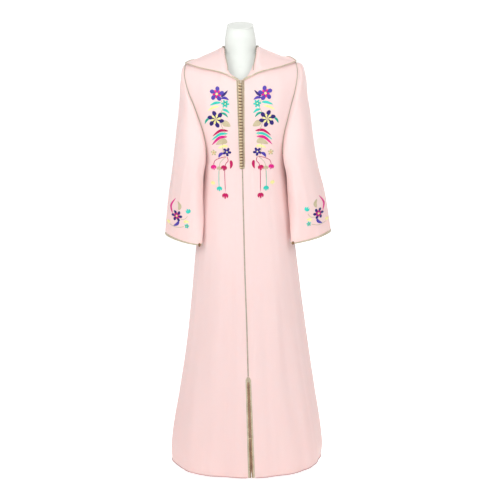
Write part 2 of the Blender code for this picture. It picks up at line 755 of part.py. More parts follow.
def hood_section(place):
    """Points of one section of the hood's left half, from the seam to the free edge."""
    row = row_at(settled_hood(), place)
    seam = Vector((row.seam_x, row.seam_y, row.seam_z))
    middle = Vector((row.mid_x, row.mid_y, row.mid_z))
    edge = Vector((row.edge_x, row.edge_y, row.edge_z))
    arch = Vector((0.0, 0.0, row.arch))
    puff = Vector((0.3 * row.puff, row.puff, 0.0))
    guides = [seam, seam.lerp(middle, 0.5) + arch, middle,
              middle.lerp(edge, 0.5) + arch + puff, edge]
    length = sum((b - a).length for a, b in zip(guides, guides[1:]))
    braid_share = min(HOOD_BRAID_WIDTH / length, MOST_BRAID)
    last = HOOD_STEPS - 1
    parts = [(step / last) ** RING_SPACING * (1 - braid_share) for step in range(HOOD_STEPS)] + [1.0]
    lifts = [mix(HOOD_SEAM_LIFT, HOOD_LIFT, ease(part * length / HOOD_RISE)) for part in parts]
    return [lift_off(spline(guides, part), lift) for part, lift in zip(parts, lifts)]


@lru_cache(maxsize=None)
def hood_grid(side):
    """The visible points of half the hood and their normals: rows from seam to free edge."""
    sections = [hood_section(k / HOOD_COLUMNS) for k in range(HOOD_COLUMNS + 1)]
    for point in sections[-1]:
        point.x = SEAM / 2
    grid = [[Vector((SIDES[side] * section[i].x, section[i].y, section[i].z))
             for section in sections] for i in range(HOOD_STEPS + 1)]
    normals = grid_normals(grid, False, Vector((0.0, 0.0, 1.0)))
    for line in normals:
        line[-1] = flatten(line[-1], 0)
    return grid, normals


def hood_half(side, look):
    grid, normals = hood_grid(side)
    under = [[point - normal * WALL for point, normal in zip(*pair)]
             for pair in zip(grid, normals)]
    return wall("hood_" + side, grid, under, False, look)


def hood_braid(side, look):
    """The braid along the hood's free edge, from the point of the V to the centre back."""
    grid, normals = hood_grid(side)
    near, far = (list(zip(grid[i], normals[i])) for i in (-2, -1))
    return ribbon("hood_braid_" + side, near, far, HOOD_BRAID_THICKNESS, look, 2.5 * REST)


def neck_cord(look):
    """The cord over the hood's seam, from one side of the V round the back to the other."""
    path = []
    first = 3                 # column where the cord comes out from under the braid
    for side in ("left", "right"):
        grid, normals = hood_grid(side)
        line = [grid[0][j] + normals[0][j] * (NECK_CORD_RADIUS + 2.5 * REST)
                for j in range(first, HOOD_COLUMNS + 1)]
        path += line if side == "left" else list(reversed(line[:-1]))
    return round_cord("neck_cord", path, NECK_CORD_RADIUS, look)


# ================================================================== trims of the front
def trim_heights(top, bottom):
    """Heights of a trim's sections: its ends, each row of the panel between, and halfway."""
    rows = [line[0].z for line in panel_grid("front_left")]
    inside = [height for height in rows if bottom + 0.002 < height < top - 0.002]
    main_heights = [top] + inside[::-1] + [bottom]
    out = [top]
    for upper, lower in zip(main_heights, main_heights[1:]):
        out += [(upper + lower) / 2, lower]
    return out


def front_centre(height):
    return row_at(FRONT_DRIFT, height).shift


def placket_braid(side, look):
    """One of the two braids that carry the buttons, narrowing to a point."""
    top_x, bottom_x = PLACKET_SIDES[side]
    point_height = PLACKET_BOTTOM + PLACKET_POINT
    near, far = [], []
    for height in trim_heights(PLACKET_TOP, point_height) + [PLACKET_BOTTOM]:
        down = (PLACKET_TOP - height) / (PLACKET_TOP - point_height)
        outer_x = mix(top_x, bottom_x, down) if height >= point_height else PLACKET_TIP * bottom_x
        near.append(front_at(SIDES[side] * (SEAM + REST), height))
        far.append(front_at(outer_x, height))
    return ribbon("placket_braid_" + side, near, far, PLACKET_THICKNESS, look, 1.5 * REST)


def front_cord(look):
    """The cord over the centre front seam, from the placket down to the slit."""
    heights = trim_heights(PLACKET_BOTTOM - 0.002, SLIT_TOP + SLIT_BRAID_POINT + 0.002)
    half = FRONT_CORD_WIDTH / 2
    near = [front_at(front_centre(height) - half, height) for height in heights]
    far = [front_at(front_centre(height) + half, height) for height in heights]
    return ribbon("front_cord", near, far, FRONT_CORD_THICKNESS, look)


def slit_braid(side, look):
    """The braid along one edge of the slit, coming to a point above it."""
    sign = SIDES[side]
    top, bottom = SLIT_TOP + SLIT_BRAID_POINT, HEM_HEIGHT + 0.001
    near, far = [], []
    for height in trim_heights(top, bottom):
        inner = front_centre(height) + sign * (slit_gap(height) + SEAM / 2 + REST)
        width = mix(*SLIT_BRAID_WIDTHS, (top - height) / (top - bottom))
        near.append(front_at(inner, height))
        far.append(front_at(inner + sign * width * (SLIT_TIP if height == top else 1.0), height))
    return ribbon("slit_braid_" + side, near, far, SLIT_BRAID_THICKNESS, look)


def button(index, look):
    """A knotted button of wound cord."""
    height = BUTTON_TOP - index * BUTTON_PITCH
    point, normal = front_at(BUTTON_X, height)
    centre = point + normal * (2.5 * REST + PLACKET_THICKNESS + BUTTON_SIZE.y)
    builder = bmesh.new()
    bmesh.ops.create_uvsphere(builder, u_segments=7, v_segments=4, radius=1.0)
    for vert in builder.verts:
        vert.co = Vector((vert.co.x * BUTTON_SIZE.x, vert.co.y * BUTTON_SIZE.y,
                          vert.co.z * BUTTON_SIZE.z)) + centre
    bmesh.ops.triangulate(builder, faces=builder.faces)
    return finish("button_%02d" % (index + 1), builder, look)


# ================================================================== dress form
def oval_ring(centre, half_width, front, back, count, squareness=2.0):
    """A level oval ring with its own depth to the front and to the back."""
    ring = []
    for k in range(count):
        turn = 2 * math.pi * k / count
        depth = front if math.sin(turn) < 0 else back
        ring.append(centre + Vector((half_width * power(math.cos(turn), 2 / squareness),
                                     depth * power(math.sin(turn), 2 / squareness), 0.0)))
    return ring


def cap_ring(scale, lift):
    """A ring of the tilted top of the neck."""
    normal = Vector((0.0, -math.sin(CAP_TILT), math.cos(CAP_TILT)))
    back = Vector((0.0, math.cos(CAP_TILT), math.sin(CAP_TILT)))
    centre = CAP_CENTRE + normal * lift
    return [centre + (Vector((1.0, 0.0, 0.0)) * CAP_RADII[0] * math.cos(turn)
                      + back * CAP_RADII[1] * math.sin(turn)) * scale
            for turn in (2 * math.pi * k / TORSO_SIDES for k in range(TORSO_SIDES))]


def form_torso(look):
    """Chest, shoulders and neck of the form, without arms, up to its tilted top."""
    rings = [oval_ring(Vector((0.0, 0.0, row.height)), row.half_width, row.front, row.back,
                       TORSO_SIDES, row.squareness) for row in TORSO]
    top = cap_ring(1.0, -REST)
    last = rings[-1]
    for step in range(1, NECK_STEPS + 1):
        part = step / NECK_STEPS
        rings.append([start.lerp(end, part) for start, end in zip(last, top)])
    return sweep("form_torso", rings, look)


def form_cap(look):
    rings = [cap_ring(1.0, 0.0), cap_ring(1.0, 0.6 * CAP_THICKNESS), cap_ring(0.95, CAP_THICKNESS)]
    return sweep("form_cap", rings, look)


def turned(name, profile, sides, look):
    """A round solid from (radius, height) pairs, bottom to top."""
    rings = [oval_ring(Vector((0.0, 0.0, height)), radius, radius, radius, sides)
             for radius, height in profile]
    return sweep(name, rings, look)


def form_pole(look):
    profile = [(POLE_RADIUS, BASE_HEIGHT + REST), (POLE_RADIUS, TORSO[0].height - REST)]
    return turned("form_pole", profile, 24, look)


def form_base(look):
    profile = [(BASE_RADIUS - 0.002, 0.0), (BASE_RADIUS, 0.003), (BASE_RADIUS, 0.008),
               (BASE_RADIUS - 0.006, 0.011), (BASE_RADIUS * 0.5, BASE_HEIGHT)]
    return turned("form_base", profile, 48, look)


# ================================================================== build
def main():
    for leftover in list(bpy.data.objects):
        bpy.data.objects.remove(leftover, do_unlink=True)
    cloth = material("pink_crepe", (0.90, 0.66, 0.63), 0.75)
    braid = material("beige_braid", (0.42, 0.37, 0.26), 0.55)
    cord = material("olive_cord", (0.30, 0.28, 0.20), 0.60)
    gold = material("golden_knot", (0.62, 0.47, 0.26), 0.45)
    white = material("white_form", (0.88, 0.89, 0.86), 0.45)
    steel = material("white_stand", (0.80, 0.80, 0.79), 0.35, 0.2)

    pieces = [panel("back", cloth), neck_cord(cord), front_cord(cord)]
    for side in SIDES:
        pieces += [panel("front_" + side, cloth), sleeve(side, cloth), hood_half(side, cloth),
                   hood_braid(side, braid), armhole_cord(side, cord), cuff_braid(side, braid),
                   placket_braid(side, braid), slit_braid(side, braid)]
    pieces += [button(index, gold) for index in range(BUTTON_COUNT)]
    pieces += [form_torso(white), form_cap(white), form_pole(steel), form_base(steel)]

    robe = bpy.data.objects.new("robe_and_form", None)
    bpy.context.scene.collection.objects.link(robe)
    for piece in pieces:
        piece.parent = robe


main()
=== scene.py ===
"""Looks of the djellaba robe: fine cloth, trims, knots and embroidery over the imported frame.

Metres unless a table says otherwise, +Z up, the robe faces -Y. The tables of sections are those
of the solids; each piece of cloth is worked out from them again as a fine shell with its soft
folds.
"""
import math
from collections import namedtuple
from functools import lru_cache

import bpy
import numpy as np
from mathutils import Matrix, Vector, noise
from mathutils.bvhtree import BVHTree


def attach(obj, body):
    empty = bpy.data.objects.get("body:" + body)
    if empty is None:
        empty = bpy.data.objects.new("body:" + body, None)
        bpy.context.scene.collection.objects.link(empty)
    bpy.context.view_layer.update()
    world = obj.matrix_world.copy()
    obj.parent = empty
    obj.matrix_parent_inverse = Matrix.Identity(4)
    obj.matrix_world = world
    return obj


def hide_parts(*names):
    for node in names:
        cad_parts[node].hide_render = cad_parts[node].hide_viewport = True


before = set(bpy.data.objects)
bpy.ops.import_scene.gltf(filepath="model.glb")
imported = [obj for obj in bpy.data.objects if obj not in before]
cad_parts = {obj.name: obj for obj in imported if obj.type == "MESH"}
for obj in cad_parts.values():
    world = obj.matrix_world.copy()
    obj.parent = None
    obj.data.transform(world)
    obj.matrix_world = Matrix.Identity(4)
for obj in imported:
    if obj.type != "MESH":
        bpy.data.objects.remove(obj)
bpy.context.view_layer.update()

# ---------------------------------------------------------------- dimensions (metres)
WALL = 0.0016                 # cloth
SEAM = 0.0003                 # gap between two pieces that are sewn together
REST = 0.0003                 # gap between a trim and the cloth

HEM_HEIGHT = 0.018
UNDERARM_HEIGHT = 1.068
CHEST_HEIGHT = 1.270          # above this height the panels turn in to the shoulders
NECK_POINT = Vector((0.057, 0.0, 1.447))
SHOULDER_TIP = Vector((0.183, 0.0, 1.396))
NECK_BASES = {"front": Vector((0.0, -0.052, 1.398)), "back": Vector((0.0, 0.064, 1.432))}
SHOULDER_ROUNDNESS = 2.0
SHOULDER_SAG = 0.0055

SLIT_TOP = 0.356
SLIT_WIDTH = 0.003
FOLD_DEPTH = 0.0042
FOLDS = ((0.55, 9), (0.45, 14))     # the folds' share of that depth, and how many go round
FLAT_ANGLE, FLAT_WIDTH, FLAT_SHARE = 1.05, 0.3, 0.9     # where and how far hollows flatten out
# How far the hem's sides turn in, hang higher and are fuller, and up to which height above it.
HEM_TUCK, HEM_TUCK_REACH = {"left": 0.042, "right": 0.030}, 0.070
HEM_LIFT, HEM_LIFT_REACH = {"left": 0.0110, "right": 0.0}, 0.15
HEM_ROUND, HEM_ROUND_REACH = 0.28, 0.25
HEM_ROLL_RADIUS = 0.0012

PLACKET_TOP = 1.3435
PLACKET_BOTTOM = 1.053
PLACKET_POINT = 0.009         # length of its rounded end
PLACKET_BLUNT = 0.12          # share of its width at the very end
PLACKET_SIDES = {"right": (-0.0152, -0.0098), "left": (0.0120, 0.0083)}
# Where the dark lines of painted groove shade lie across each placket braid, as shares of its
# width.
PLACKET_GROOVE_SHADE = {"right": (0.36, 0.72), "left": (0.34, 0.68)}
PLACKET_THICKNESS = 0.0014
BUTTON_COUNT = 29
BUTTON_TOP = 1.329
BUTTON_PITCH = 0.0096
BUTTON_X = -0.0044
BUTTON_SIZE = Vector((0.0052, 0.0025, 0.0029))
LOOP_SIZE = (0.0052, 0.0040)

FRONT_CORD_WIDTH = 0.0040
FRONT_CORD_THICKNESS = 0.0020
SLIT_BRAID_WIDTHS = (0.0086, 0.0096)
SLIT_BRAID_THICKNESS = 0.0016
SLIT_BRAID_POINT = 0.006      # how far it reaches over the slit's top
SLIT_BRAID_ROUND = 0.012      # length of its rounded top
SLIT_BRAID_BLUNT = 0.15
TACK_HEIGHT = 0.155
TACK_SIZE = Vector((0.0050, 0.0012, 0.0022))
CUFF_TACK_SIZE = Vector((0.0042, 0.0015, 0.0058))
# The lacing's two cords: distance from the slit's edge, sway, and how far they close the slit.
LACING = ((0.0010, 0.0, 0.85), (0.0024, 0.0011, 0.0))
LACING_PITCH = 0.009
HOOD_BRAID_WIDTH = 0.0055
HOOD_BRAID_THICKNESS = 0.0020
CUFF_BRAID_WIDTH = 0.0070
CUFF_BRAID_THICKNESS = 0.0014
ARMHOLE_CORD_RADIUS = 0.0013
NECK_CORD_RADIUS = 0.0014
# How far a stitch or a turn of each braid and cord is along it.
PITCHES = {"hood_braid": 0.0042, "cuff_braid": 0.0040, "slit_braid": 0.0050, "placket": 0.0030,
           "front_cord": 0.0036, "neck_cord": 0.0065, "armhole_cord": 0.0060, "hem": 0.0040,
           "lacing": 0.0024, "thread": 0.0022}
THREAD_RADIUS = 0.0008        # of the lacing and the loops
LINE_RADIUS = 0.0007          # of the dark lines of painted groove shade down the placket
LINE_LIFT, LACING_LIFT = 0.75, 0.92     # of the braid's thickness below them
TACK_LIFT = 0.0016            # of a tack's middle over its braid
UNDERARM_GAP = 5              # points beside the underarm that the armhole's cord leaves free

HOOD_SEAM_LIFT = 0.0036       # how far the hood lies off the panels at its seam
HOOD_LIFT = 0.0048            # and from this distance on
HOOD_RISE = 0.012
TIP_PLACE, TIP_SPREAD = 0.56, 0.06
TIP_RISE = {"left": 0.0065, "right": 0.001}     # how much higher the hood's edge stands there
CAP_TILT = math.radians(16.0)
CAP_CENTRE = Vector((0.0, 0.002, 1.5165))
CAP_RADII = (0.0445, 0.0480)
CAP_THICKNESS = 0.0035
FORM_INSET = 0.0008           # the shown form is this much slimmer than its solid

# ---------------------------------------------------------------- how finely each piece is made
PANEL_COLUMNS = 80            # faces from a centre line to the side seam
NECK_SHARE = 0.3              # the share of that way at which a column ends at the neck point
ROW_STEPS = ((HEM_HEIGHT, SLIT_TOP, 58), (SLIT_TOP, UNDERARM_HEIGHT, 110),
             (UNDERARM_HEIGHT, CHEST_HEIGHT, 40))
UPPER_STEPS = 46
# The relief of a panel fades out over these rows, this share of a column's way and this width.
TOP_FADE_ROWS, EDGE_FADE, CENTRE_FADE = 14, 0.10, 0.02
SLEEVE_RINGS = 116
HOOD_COLUMNS = 130
HOOD_STEPS = 56
FORM_SIDES = 96
CROWDING = 1.25               # how much closer a sleeve's and the hood's rows are at the seam
SLEEVE_CLEAR = (0.0012, 0.0016)     # gap between a sleeve and the body, at its head and below
SLEEVE_SMOOTHING = 4
HOOD_SMOOTHING = 6
EDGE_COSINE = 0.85            # flatter than this, a point lies beside a panel's edge
BRAID_STEP = 0.0007
BRAID_EDGE = 0.15             # share of its thickness that a braid keeps at its edges
CORD_STEP = 0.0006
CORD_GROOVE = 0.20            # depth of the grooves between a cord's strands, of its radius
STITCH_HEIGHT = 0.0008
STITCH_PITCH = 0.0009

FACES = {"front": -1.0, "back": 1.0}
SIDES = {"left": 1.0, "right": -1.0}
PANELS = ("front_left", "front_right", "back")


# ---------------------------------------------------------------- tables
def table(kind, *rows):
    return [kind(*row) for row in rows]


def creases(*rows):
    return [Crease(*(value / 1000 for value in row)) for row in rows]


def blossoms(*rows):
    return [Blossom(x / 1000, z / 1000, radius / 1000, *rest) for x, z, radius, *rest in rows]


def stitches(*rows):
    return [Satin(colour, profile, half_width / 1000, [(x / 1000, z / 1000) for x, z in path])
            for colour, profile, half_width, *path in rows]


Mark = namedtuple("Mark", "place value")
Section = namedtuple("Section", "height half_width front back sway squareness fold")
Ring = namedtuple("Ring", "place out_x out_y out_z in_x in_y in_z depth yaw squareness")
HoodRow = namedtuple("HoodRow", "place seam_x seam_y seam_z mid_x mid_y mid_z "
                                "edge_x edge_y edge_z arch puff")
Slice = namedtuple("Slice", "height half_width front back squareness", defaults=(2,))
Crease = namedtuple("Crease", "x0 z0 x1 z1 depth width")
Satin = namedtuple("Satin", "colour profile half_width path lift", defaults=(0.0,))
Blossom = namedtuple("Blossom", "x z radius petals turn outer inner eye")
Cut = namedtuple("Cut", "width length area held on trims")

# The body's sections. An armhole's half width by height, a neckline's height by distance from
# the centre, and how far the front's centre line stands to the left by height.
BODY = table(Section,
    (0.018, 0.272, 0.232, 0.222, -0.004, 2.35, 1), (0.14, 0.26, 0.219, 0.208, -0.002, 2.32, 0.85),
    (0.29, 0.235, 0.2, 0.188, 0.002, 2.28, 0.65), (0.44, 0.212, 0.181, 0.168, 0.005, 2.25, 0.48),
    (0.58, 0.194, 0.164, 0.15, 0.0055, 2.22, 0.32),
    (0.73, 0.177, 0.147, 0.132, 0.0055, 2.2, 0.18), (0.85, 0.163, 0.134, 0.116, 0.006, 2.2, 0.08),
    (0.95, 0.151, 0.124, 0.101, 0.0065, 2.2, 0.03), (1.068, 0.14, 0.119, 0.088, 0.007, 2.25, 0),
    (1.15, 0.151, 0.126, 0.089, 0.007, 2.28, 0), (1.21, 0.165, 0.13, 0.093, 0.0065, 2.3, 0),
    (1.27, 0.181, 0.129, 0.096, 0.004, 2.3, 0))
ARMHOLE = table(Mark,
    (1.068, 0.14), (1.082, 0.131), (1.11, 0.128), (1.14, 0.1298), (1.177, 0.1358), (1.216, 0.147),
    (1.27, 0.163), (1.3, 0.173), (1.34, 0.183), (1.37, 0.1862), (1.396, 0.183))
NECKLINES = {
    "left": table(Mark,
        (0, 1.344), (0.014, 1.35), (0.026, 1.363), (0.039, 1.388), (0.0475, 1.409), (0.055, 1.43),
        (0.057, 1.447)),
    "right": table(Mark,
        (0, 1.344), (0.012, 1.348), (0.025, 1.3555), (0.038, 1.3685), (0.0425, 1.388),
        (0.049, 1.41), (0.055, 1.43), (0.057, 1.447)),
}
FRONT_DRIFT = table(Mark,
    (0.018, 0.013), (0.361, 0.0075), (0.53, 0.0055), (0.74, 0.002), (1.06, 0), (1.447, 0))

# A sleeve's sections, on the left, by the share of the way from the armhole to the cuff.
SLEEVE = table(Ring,
    (0, 0.183, 0, 1.396, 0.14, 0, 1.068, 0.07, 0, 2),
    (0.05, 0.1975, 0.003, 1.387, 0.14, -0.013, 1.059, 0.072, -4, 2),
    (0.12, 0.206, 0.006, 1.345, 0.1405, -0.03, 1.043, 0.074, -8, 2),
    (0.25, 0.213, 0.01, 1.285, 0.1395, -0.052, 1.01, 0.07, -2, 2),
    (0.38, 0.222, 0.012, 1.22, 0.14, -0.066, 0.977, 0.064, 8, 2),
    (0.5, 0.232, 0.014, 1.15, 0.143, -0.077, 0.942, 0.056, 18, 1.96),
    (0.62, 0.245, 0.015, 1.065, 0.146, -0.087, 0.908, 0.048, 28, 1.9),
    (0.75, 0.262, 0.013, 0.98, 0.149, -0.096, 0.871, 0.041, 36, 1.84),
    (0.88, 0.276, 0.01, 0.896, 0.1525, -0.104, 0.835, 0.035, 40, 1.8),
    (1, 0.288, 0.007, 0.82, 0.1565, -0.11, 0.799, 0.03, 42, 1.75))
ARMHOLE_FADE = 0.30
# How much further out a sleeve's head stands than its section, and where it does.
PUFF_PLACE, PUFF_SPREAD, PUFF_START = 0.05, 0.07, 0.04
SLEEVE_PUFF = {"left": 0.0050, "right": -0.0035}
# How far each sleeve's outer and inner points stand off their rings by place, and how far both
# sleeves stand to the left by height.
SLEEVE_OUTER = {
    "left": table(Mark,
        (0, 0), (0.15, 0.0026), (0.32, 0.001), (0.5, -0.004), (0.66, -0.0032), (0.8, 0.0008),
        (1, -0.002)),
    "right": table(Mark,
        (0, 0), (0.3, 0), (0.5, -0.003), (0.68, -0.0055), (0.85, -0.0058), (1, -0.007)),
}
SLEEVE_INNER = {
    "left": table(Mark, (0, 0), (0.7, 0), (0.88, -0.0062), (1, -0.011)),
    "right": table(Mark, (0, 0), (1, 0)),
}
SLEEVE_LEAN = table(Mark,
    (0.806, 0.013), (0.95, 0.0095), (1.068, 0.007), (1.21, 0.007), (1.3, 0.0085), (1.345, 0.01),
    (1.396, 0.008))

# The hood's left half from its front end to the middle of the back: seam, middle and free edge.
ON_FRONT = None               # a depth that is found where the row lies on the front
HOOD = table(HoodRow,
    (0, 0.007, ON_FRONT, 1.346, 0.0085, ON_FRONT, 1.343, 0.01, ON_FRONT, 1.34, 0, 0),
    (0.08, 0.026, ON_FRONT, 1.3575, 0.0285, ON_FRONT, 1.3545, 0.031, ON_FRONT, 1.3515, 0, 0),
    (0.14, 0.0405, ON_FRONT, 1.37, 0.045, ON_FRONT, 1.365, 0.05, ON_FRONT, 1.3605, 0, 0),
    (0.22, 0.0435, ON_FRONT, 1.39, 0.063, ON_FRONT, 1.382, 0.083, ON_FRONT, 1.3705, 0.002, 0),
    (0.31, 0.051, ON_FRONT, 1.412, 0.089, ON_FRONT, 1.4, 0.127, ON_FRONT, 1.379, 0.003, 0),
    (0.37, 0.056, ON_FRONT, 1.432, 0.104, ON_FRONT, 1.411, 0.155, ON_FRONT, 1.3865, 0.001, 0),
    (0.43, 0.0577, -0.012, 1.445, 0.117, -0.014, 1.4215, 0.178, -0.018, 1.393, 0, 0),
    (0.49, 0.058, 0.003, 1.4495, 0.122, 0.012, 1.423, 0.186, 0.004, 1.399, -0.001, 0),
    (0.56, 0.056, 0.016, 1.446, 0.115, 0.045, 1.419, 0.164, 0.046, 1.408, 0, 0.002),
    (0.66, 0.049, 0.0345, 1.442, 0.102, 0.092, 1.378, 0.132, 0.088, 1.406, 0, 0.006),
    (0.78, 0.0353, 0.052, 1.4375, 0.076, 0.116, 1.278, 0.088, 0.122, 1.39, 0, 0.01),
    (0.9, 0.017, 0.0628, 1.4348, 0.038, 0.121, 1.165, 0.04, 0.146, 1.373, 0, 0.012),
    (1, 0, 0.0655, 1.4344, 0, 0.12, 1.09, 0, 0.152, 1.368, 0, 0.01))

# The form under the robe, and its neck.
TORSO = table(Slice,
    (0.86, 0.13, 0.104, 0.09, 2), (0.868, 0.138, 0.11, 0.096, 2), (0.92, 0.136, 0.11, 0.094, 2),
    (1, 0.127, 0.106, 0.082, 2), (1.068, 0.124, 0.105, 0.074, 2), (1.15, 0.13, 0.112, 0.074, 2),
    (1.22, 0.142, 0.114, 0.078, 2), (1.29, 0.156, 0.108, 0.078, 2),
    (1.345, 0.164, 0.092, 0.068, 2), (1.375, 0.162, 0.076, 0.057, 2),
    (1.39, 0.161, 0.066, 0.052, 1.9), (1.4, 0.158, 0.056, 0.049, 1.8),
    (1.41, 0.136, 0.048, 0.045, 1.7), (1.42, 0.1132, 0.04, 0.042, 1.6),
    (1.43, 0.0895, 0.033, 0.04, 1.4), (1.44, 0.052, 0.0315, 0.04, 1.9),
    (1.452, 0.05, 0.036, 0.043, 2), (1.478, 0.0485, 0.043, 0.047, 2))
NECK = table(Slice,
    (1.385, 0.047, 0.066, 0.036), (1.4, 0.048, 0.058, 0.038), (1.42, 0.0485, 0.05, 0.04),
    (1.44, 0.0485, 0.0455, 0.0425), (1.46, 0.0485, 0.044, 0.044), (1.48, 0.048, 0.043, 0.046))

# Soft creases, in millimetres: from a start to an end in front view, as x to the wearer's left
# and height. depth is positive for a ridge, and width the distance where it has faded to a third.
FRONT_CREASES = creases(
    (118, 1345, 140, 1165, 1.6, 14), (98, 1335, 118, 1150, -1.2, 12),
    (-112, 1345, -134, 1180, 1.4, 14), (-90, 1330, -110, 1140, -1.2, 13),
    (125, 1090, 60, 930, 1.4, 16), (-118, 1085, -50, 900, 1.3, 17), (90, 860, 120, 330, 2.2, 22),
    (-80, 820, -115, 260, 2.4, 24), (45, 700, 60, 200, -1.8, 22), (-40, 640, -56, 150, -1.8, 24),
    (-130, 700, -180, 100, -2.4, 22), (135, 620, 175, 80, -2.2, 24))
SLEEVE_CREASES = {
    "left": creases(
        (203, 1380, 183, 1318, -2.6, 6), (183, 1322, 169, 1262, -2.4, 5),
        (190, 1300, 204, 1120, 1.4, 12)),
    "right": creases(
        (-189, 1367, -180, 1318, -1.8, 5), (-180, 1322, -163, 1276, -2.4, 5),
        (-180, 1290, -196, 1110, 1.4, 12)),
}
BACK_CREASES = creases(
    (85, 1300, 105, 1120, 1.5, 16), (-80, 1290, -105, 1110, 1.5, 17),
    (100, 1080, 30, 880, 1.8, 18), (-96, 1070, -34, 850, 1.6, 18), (20, 960, 30, 260, 2.6, 24),
    (-60, 900, -85, 180, 2.4, 25), (95, 840, 130, 160, 2.4, 26), (-15, 720, -22, 120, -2.2, 22),
    (-130, 680, -180, 90, -2.4, 24), (60, 640, 78, 100, -2.2, 22))

# Embroidery, in millimetres: satin stitch on the wearer's left half of the chest and on the left
# sleeve, as distance from the centre line and height. The right side mirrors it.
CHEST_BLOSSOMS = blossoms(
    (79, 1301, 24.1, 5, 20, "violet", "magenta", "yellow"),
    (52, 1269, 13.4, 6, 0, "teal", "jade", "yellow"),
    (84, 1219, 28, 6, 10, "navy", "yellow", "taupe"),
    (50, 1112, 14.6, 5, 40, "navy", "violet", "yellow"),
    (94, 1108, 10.1, 5, 10, "taupe", "yellow", "magenta"))
CHEST_SATIN = stitches(
    ("taupe", "line", 1.1, (70, 1287), (58, 1262), (68, 1235), (66, 1200), (54, 1170),
     (64, 1135), (58, 1095)),
    ("navy", "leaf", 4.1, (66, 1292), (54, 1300), (43, 1312)),
    ("violet", "leaf", 4.4, (66, 1287), (52, 1288), (40, 1281)),
    ("teal", "leaf", 4.4, (66, 1273), (84, 1272), (103, 1264)),
    ("yellow", "leaf", 3.7, (72, 1262), (92, 1257), (110, 1247)),
    ("teal", "leaf", 4.1, (62, 1250), (50, 1248), (38, 1238)),
    ("jade", "leaf", 3.7, (66, 1240), (54, 1236), (44, 1225)),
    ("jade", "leaf", 3.7, (106, 1222), (115, 1215), (121, 1203)),
    ("taupe", "leaf", 10.4, (64, 1207), (52, 1205), (36, 1196)),
    ("crimson", "leaf", 4.4, (44, 1181), (70, 1182), (96, 1163)),
    ("teal", "leaf", 4.1, (46, 1172), (72, 1170), (100, 1149)),
    ("magenta", "leaf", 4.6, (48, 1162), (74, 1158), (100, 1133)),
    ("taupe", "leaf", 9.5, (48, 1143), (64, 1147), (86, 1135)),
    ("yellow", "leaf", 4.4, (46, 1131), (62, 1131), (80, 1123)),
    ("violet", "leaf", 4.9, (62, 1108), (72, 1103), (78, 1092)),
    ("crimson", "line", 1.1, (52, 1096), (70, 1092), (90, 1082), (96, 1066)),
    ("taupe", "line", 1, (52, 1096), (66, 1084), (76, 1066), (78, 1010)),
    ("crimson", "line", 1.1, (50, 1096), (47, 1082), (58, 1060), (58, 976)),
    ("teal", "line", 1, (78, 1050), (79, 1020), (78, 990)),
    ("crimson", "bud", 5.1, (38, 1084), (36, 1070), (40, 1056)))
CHEST_BUDS = (
    ("magenta", 97, 1066, 16.9, -12), ("crimson", 60, 1066, 17.5, 6),
    ("taupe", 77, 1062, 13.7, 0), ("yellow", 98, 1012, 13.1, 8), ("teal", 78, 996, 16.3, -6),
    ("crimson", 58, 974, 18.7, 4))
CUFF_BLOSSOMS = blossoms(
    (236, 900, 16.8, 6, 0, "navy", "magenta", "yellow"),
    (206, 873, 7.3, 5, 20, "teal", "jade", "yellow"))
CUFF_SATIN = stitches(
    ("magenta", "leaf", 2.9, (250, 905), (254, 928), (238, 952)),
    ("taupe", "leaf", 5.1, (230, 918), (226, 930), (232, 943)),
    ("violet", "leaf", 4.1, (230, 886), (236, 876), (248, 869)),
    ("taupe", "line", 0.8, (262, 872), (238, 866), (214, 871)),
    ("taupe", "line", 0.8, (226, 890), (212, 893), (203, 903)),
    ("yellow", "leaf", 4.1, (216, 884), (208, 886), (199, 885)))
CUFF_BUDS = (
    ("teal", 198, 912, 13.7, 150), ("yellow", 262, 882, 10, 20))
# A sleeve's spray is enlarged about a point, which goes to its own distance from the centre line
# and to a height, and is moved to the left with both sleeves.
CUFF_SPRAY = {"left": 0.2350, "right": 0.2295}
CUFF_FROM, CUFF_TO_HEIGHT = (0.230, 0.905), 0.900
CUFF_SCALE, CUFF_MOVE = 1.15, 0.012
SILKS = {
    "violet": ((78, 58, 164), (56, 40, 132)),
    "navy": ((46, 28, 110), (30, 16, 82)),
    "magenta": ((214, 26, 134), (178, 6, 102)),
    "crimson": ((188, 4, 88), (150, 0, 66)),
    "teal": ((58, 200, 184), (26, 166, 150)),
    "jade": ((16, 162, 138), (4, 128, 108)),
    "yellow": ((232, 226, 158), (212, 202, 124)),
    "taupe": ((190, 178, 148), (166, 152, 120)),
}


# ---------------------------------------------------------------- small helpers
row_memory = {}


def row_at(rows, place):
    """The row of a table at a place, every column of it by cubic interpolation."""
    asked = id(rows), place
    if asked in row_memory:
        return row_memory[asked]
    keys = [row[0] for row in rows]
    at = min(max(place, keys[0]), keys[-1])
    low = max(i for i in range(len(rows) - 1) if keys[i] <= at)
    before, after = max(low - 1, 0), min(low + 2, len(rows) - 1)
    span = keys[low + 1] - keys[low]
    part = (at - keys[low]) / span
    values = [at]
    for first, start, end, last in zip(*(rows[i][1:] for i in (before, low, low + 1, after))):
        start_slope = (end - first) / (keys[low + 1] - keys[before])
        end_slope = (last - start) / (keys[after] - keys[low])
        values.append((2 * part ** 3 - 3 * part ** 2 + 1) * start
                      + (part ** 3 - 2 * part ** 2 + part) * span * start_slope
                      + (3 * part ** 2 - 2 * part ** 3) * end
                      + (part ** 3 - part ** 2) * span * end_slope)
    row_memory[asked] = type(rows[0])(*values)
    return row_memory[asked]


def mix(start, end, part):
    return start + (end - start) * part


def ease(part):
    """0 to 1 with level ends."""
    part = min(max(part, 0.0), 1.0)
    return part * part * (3 - 2 * part)


def bell(value, middle, width):
    return math.exp(-((value - middle) / width) ** 2)


def power(value, exponent):
    return math.copysign(abs(value) ** exponent, value)


def rough(depth, *place):
    """Smooth noise at a place, up to a depth."""
    return depth * noise.noise(Vector(place))


def turns_of(count):
    """The angles of evenly spaced points round a ring."""
    return [2 * math.pi * k / count for k in range(count)]


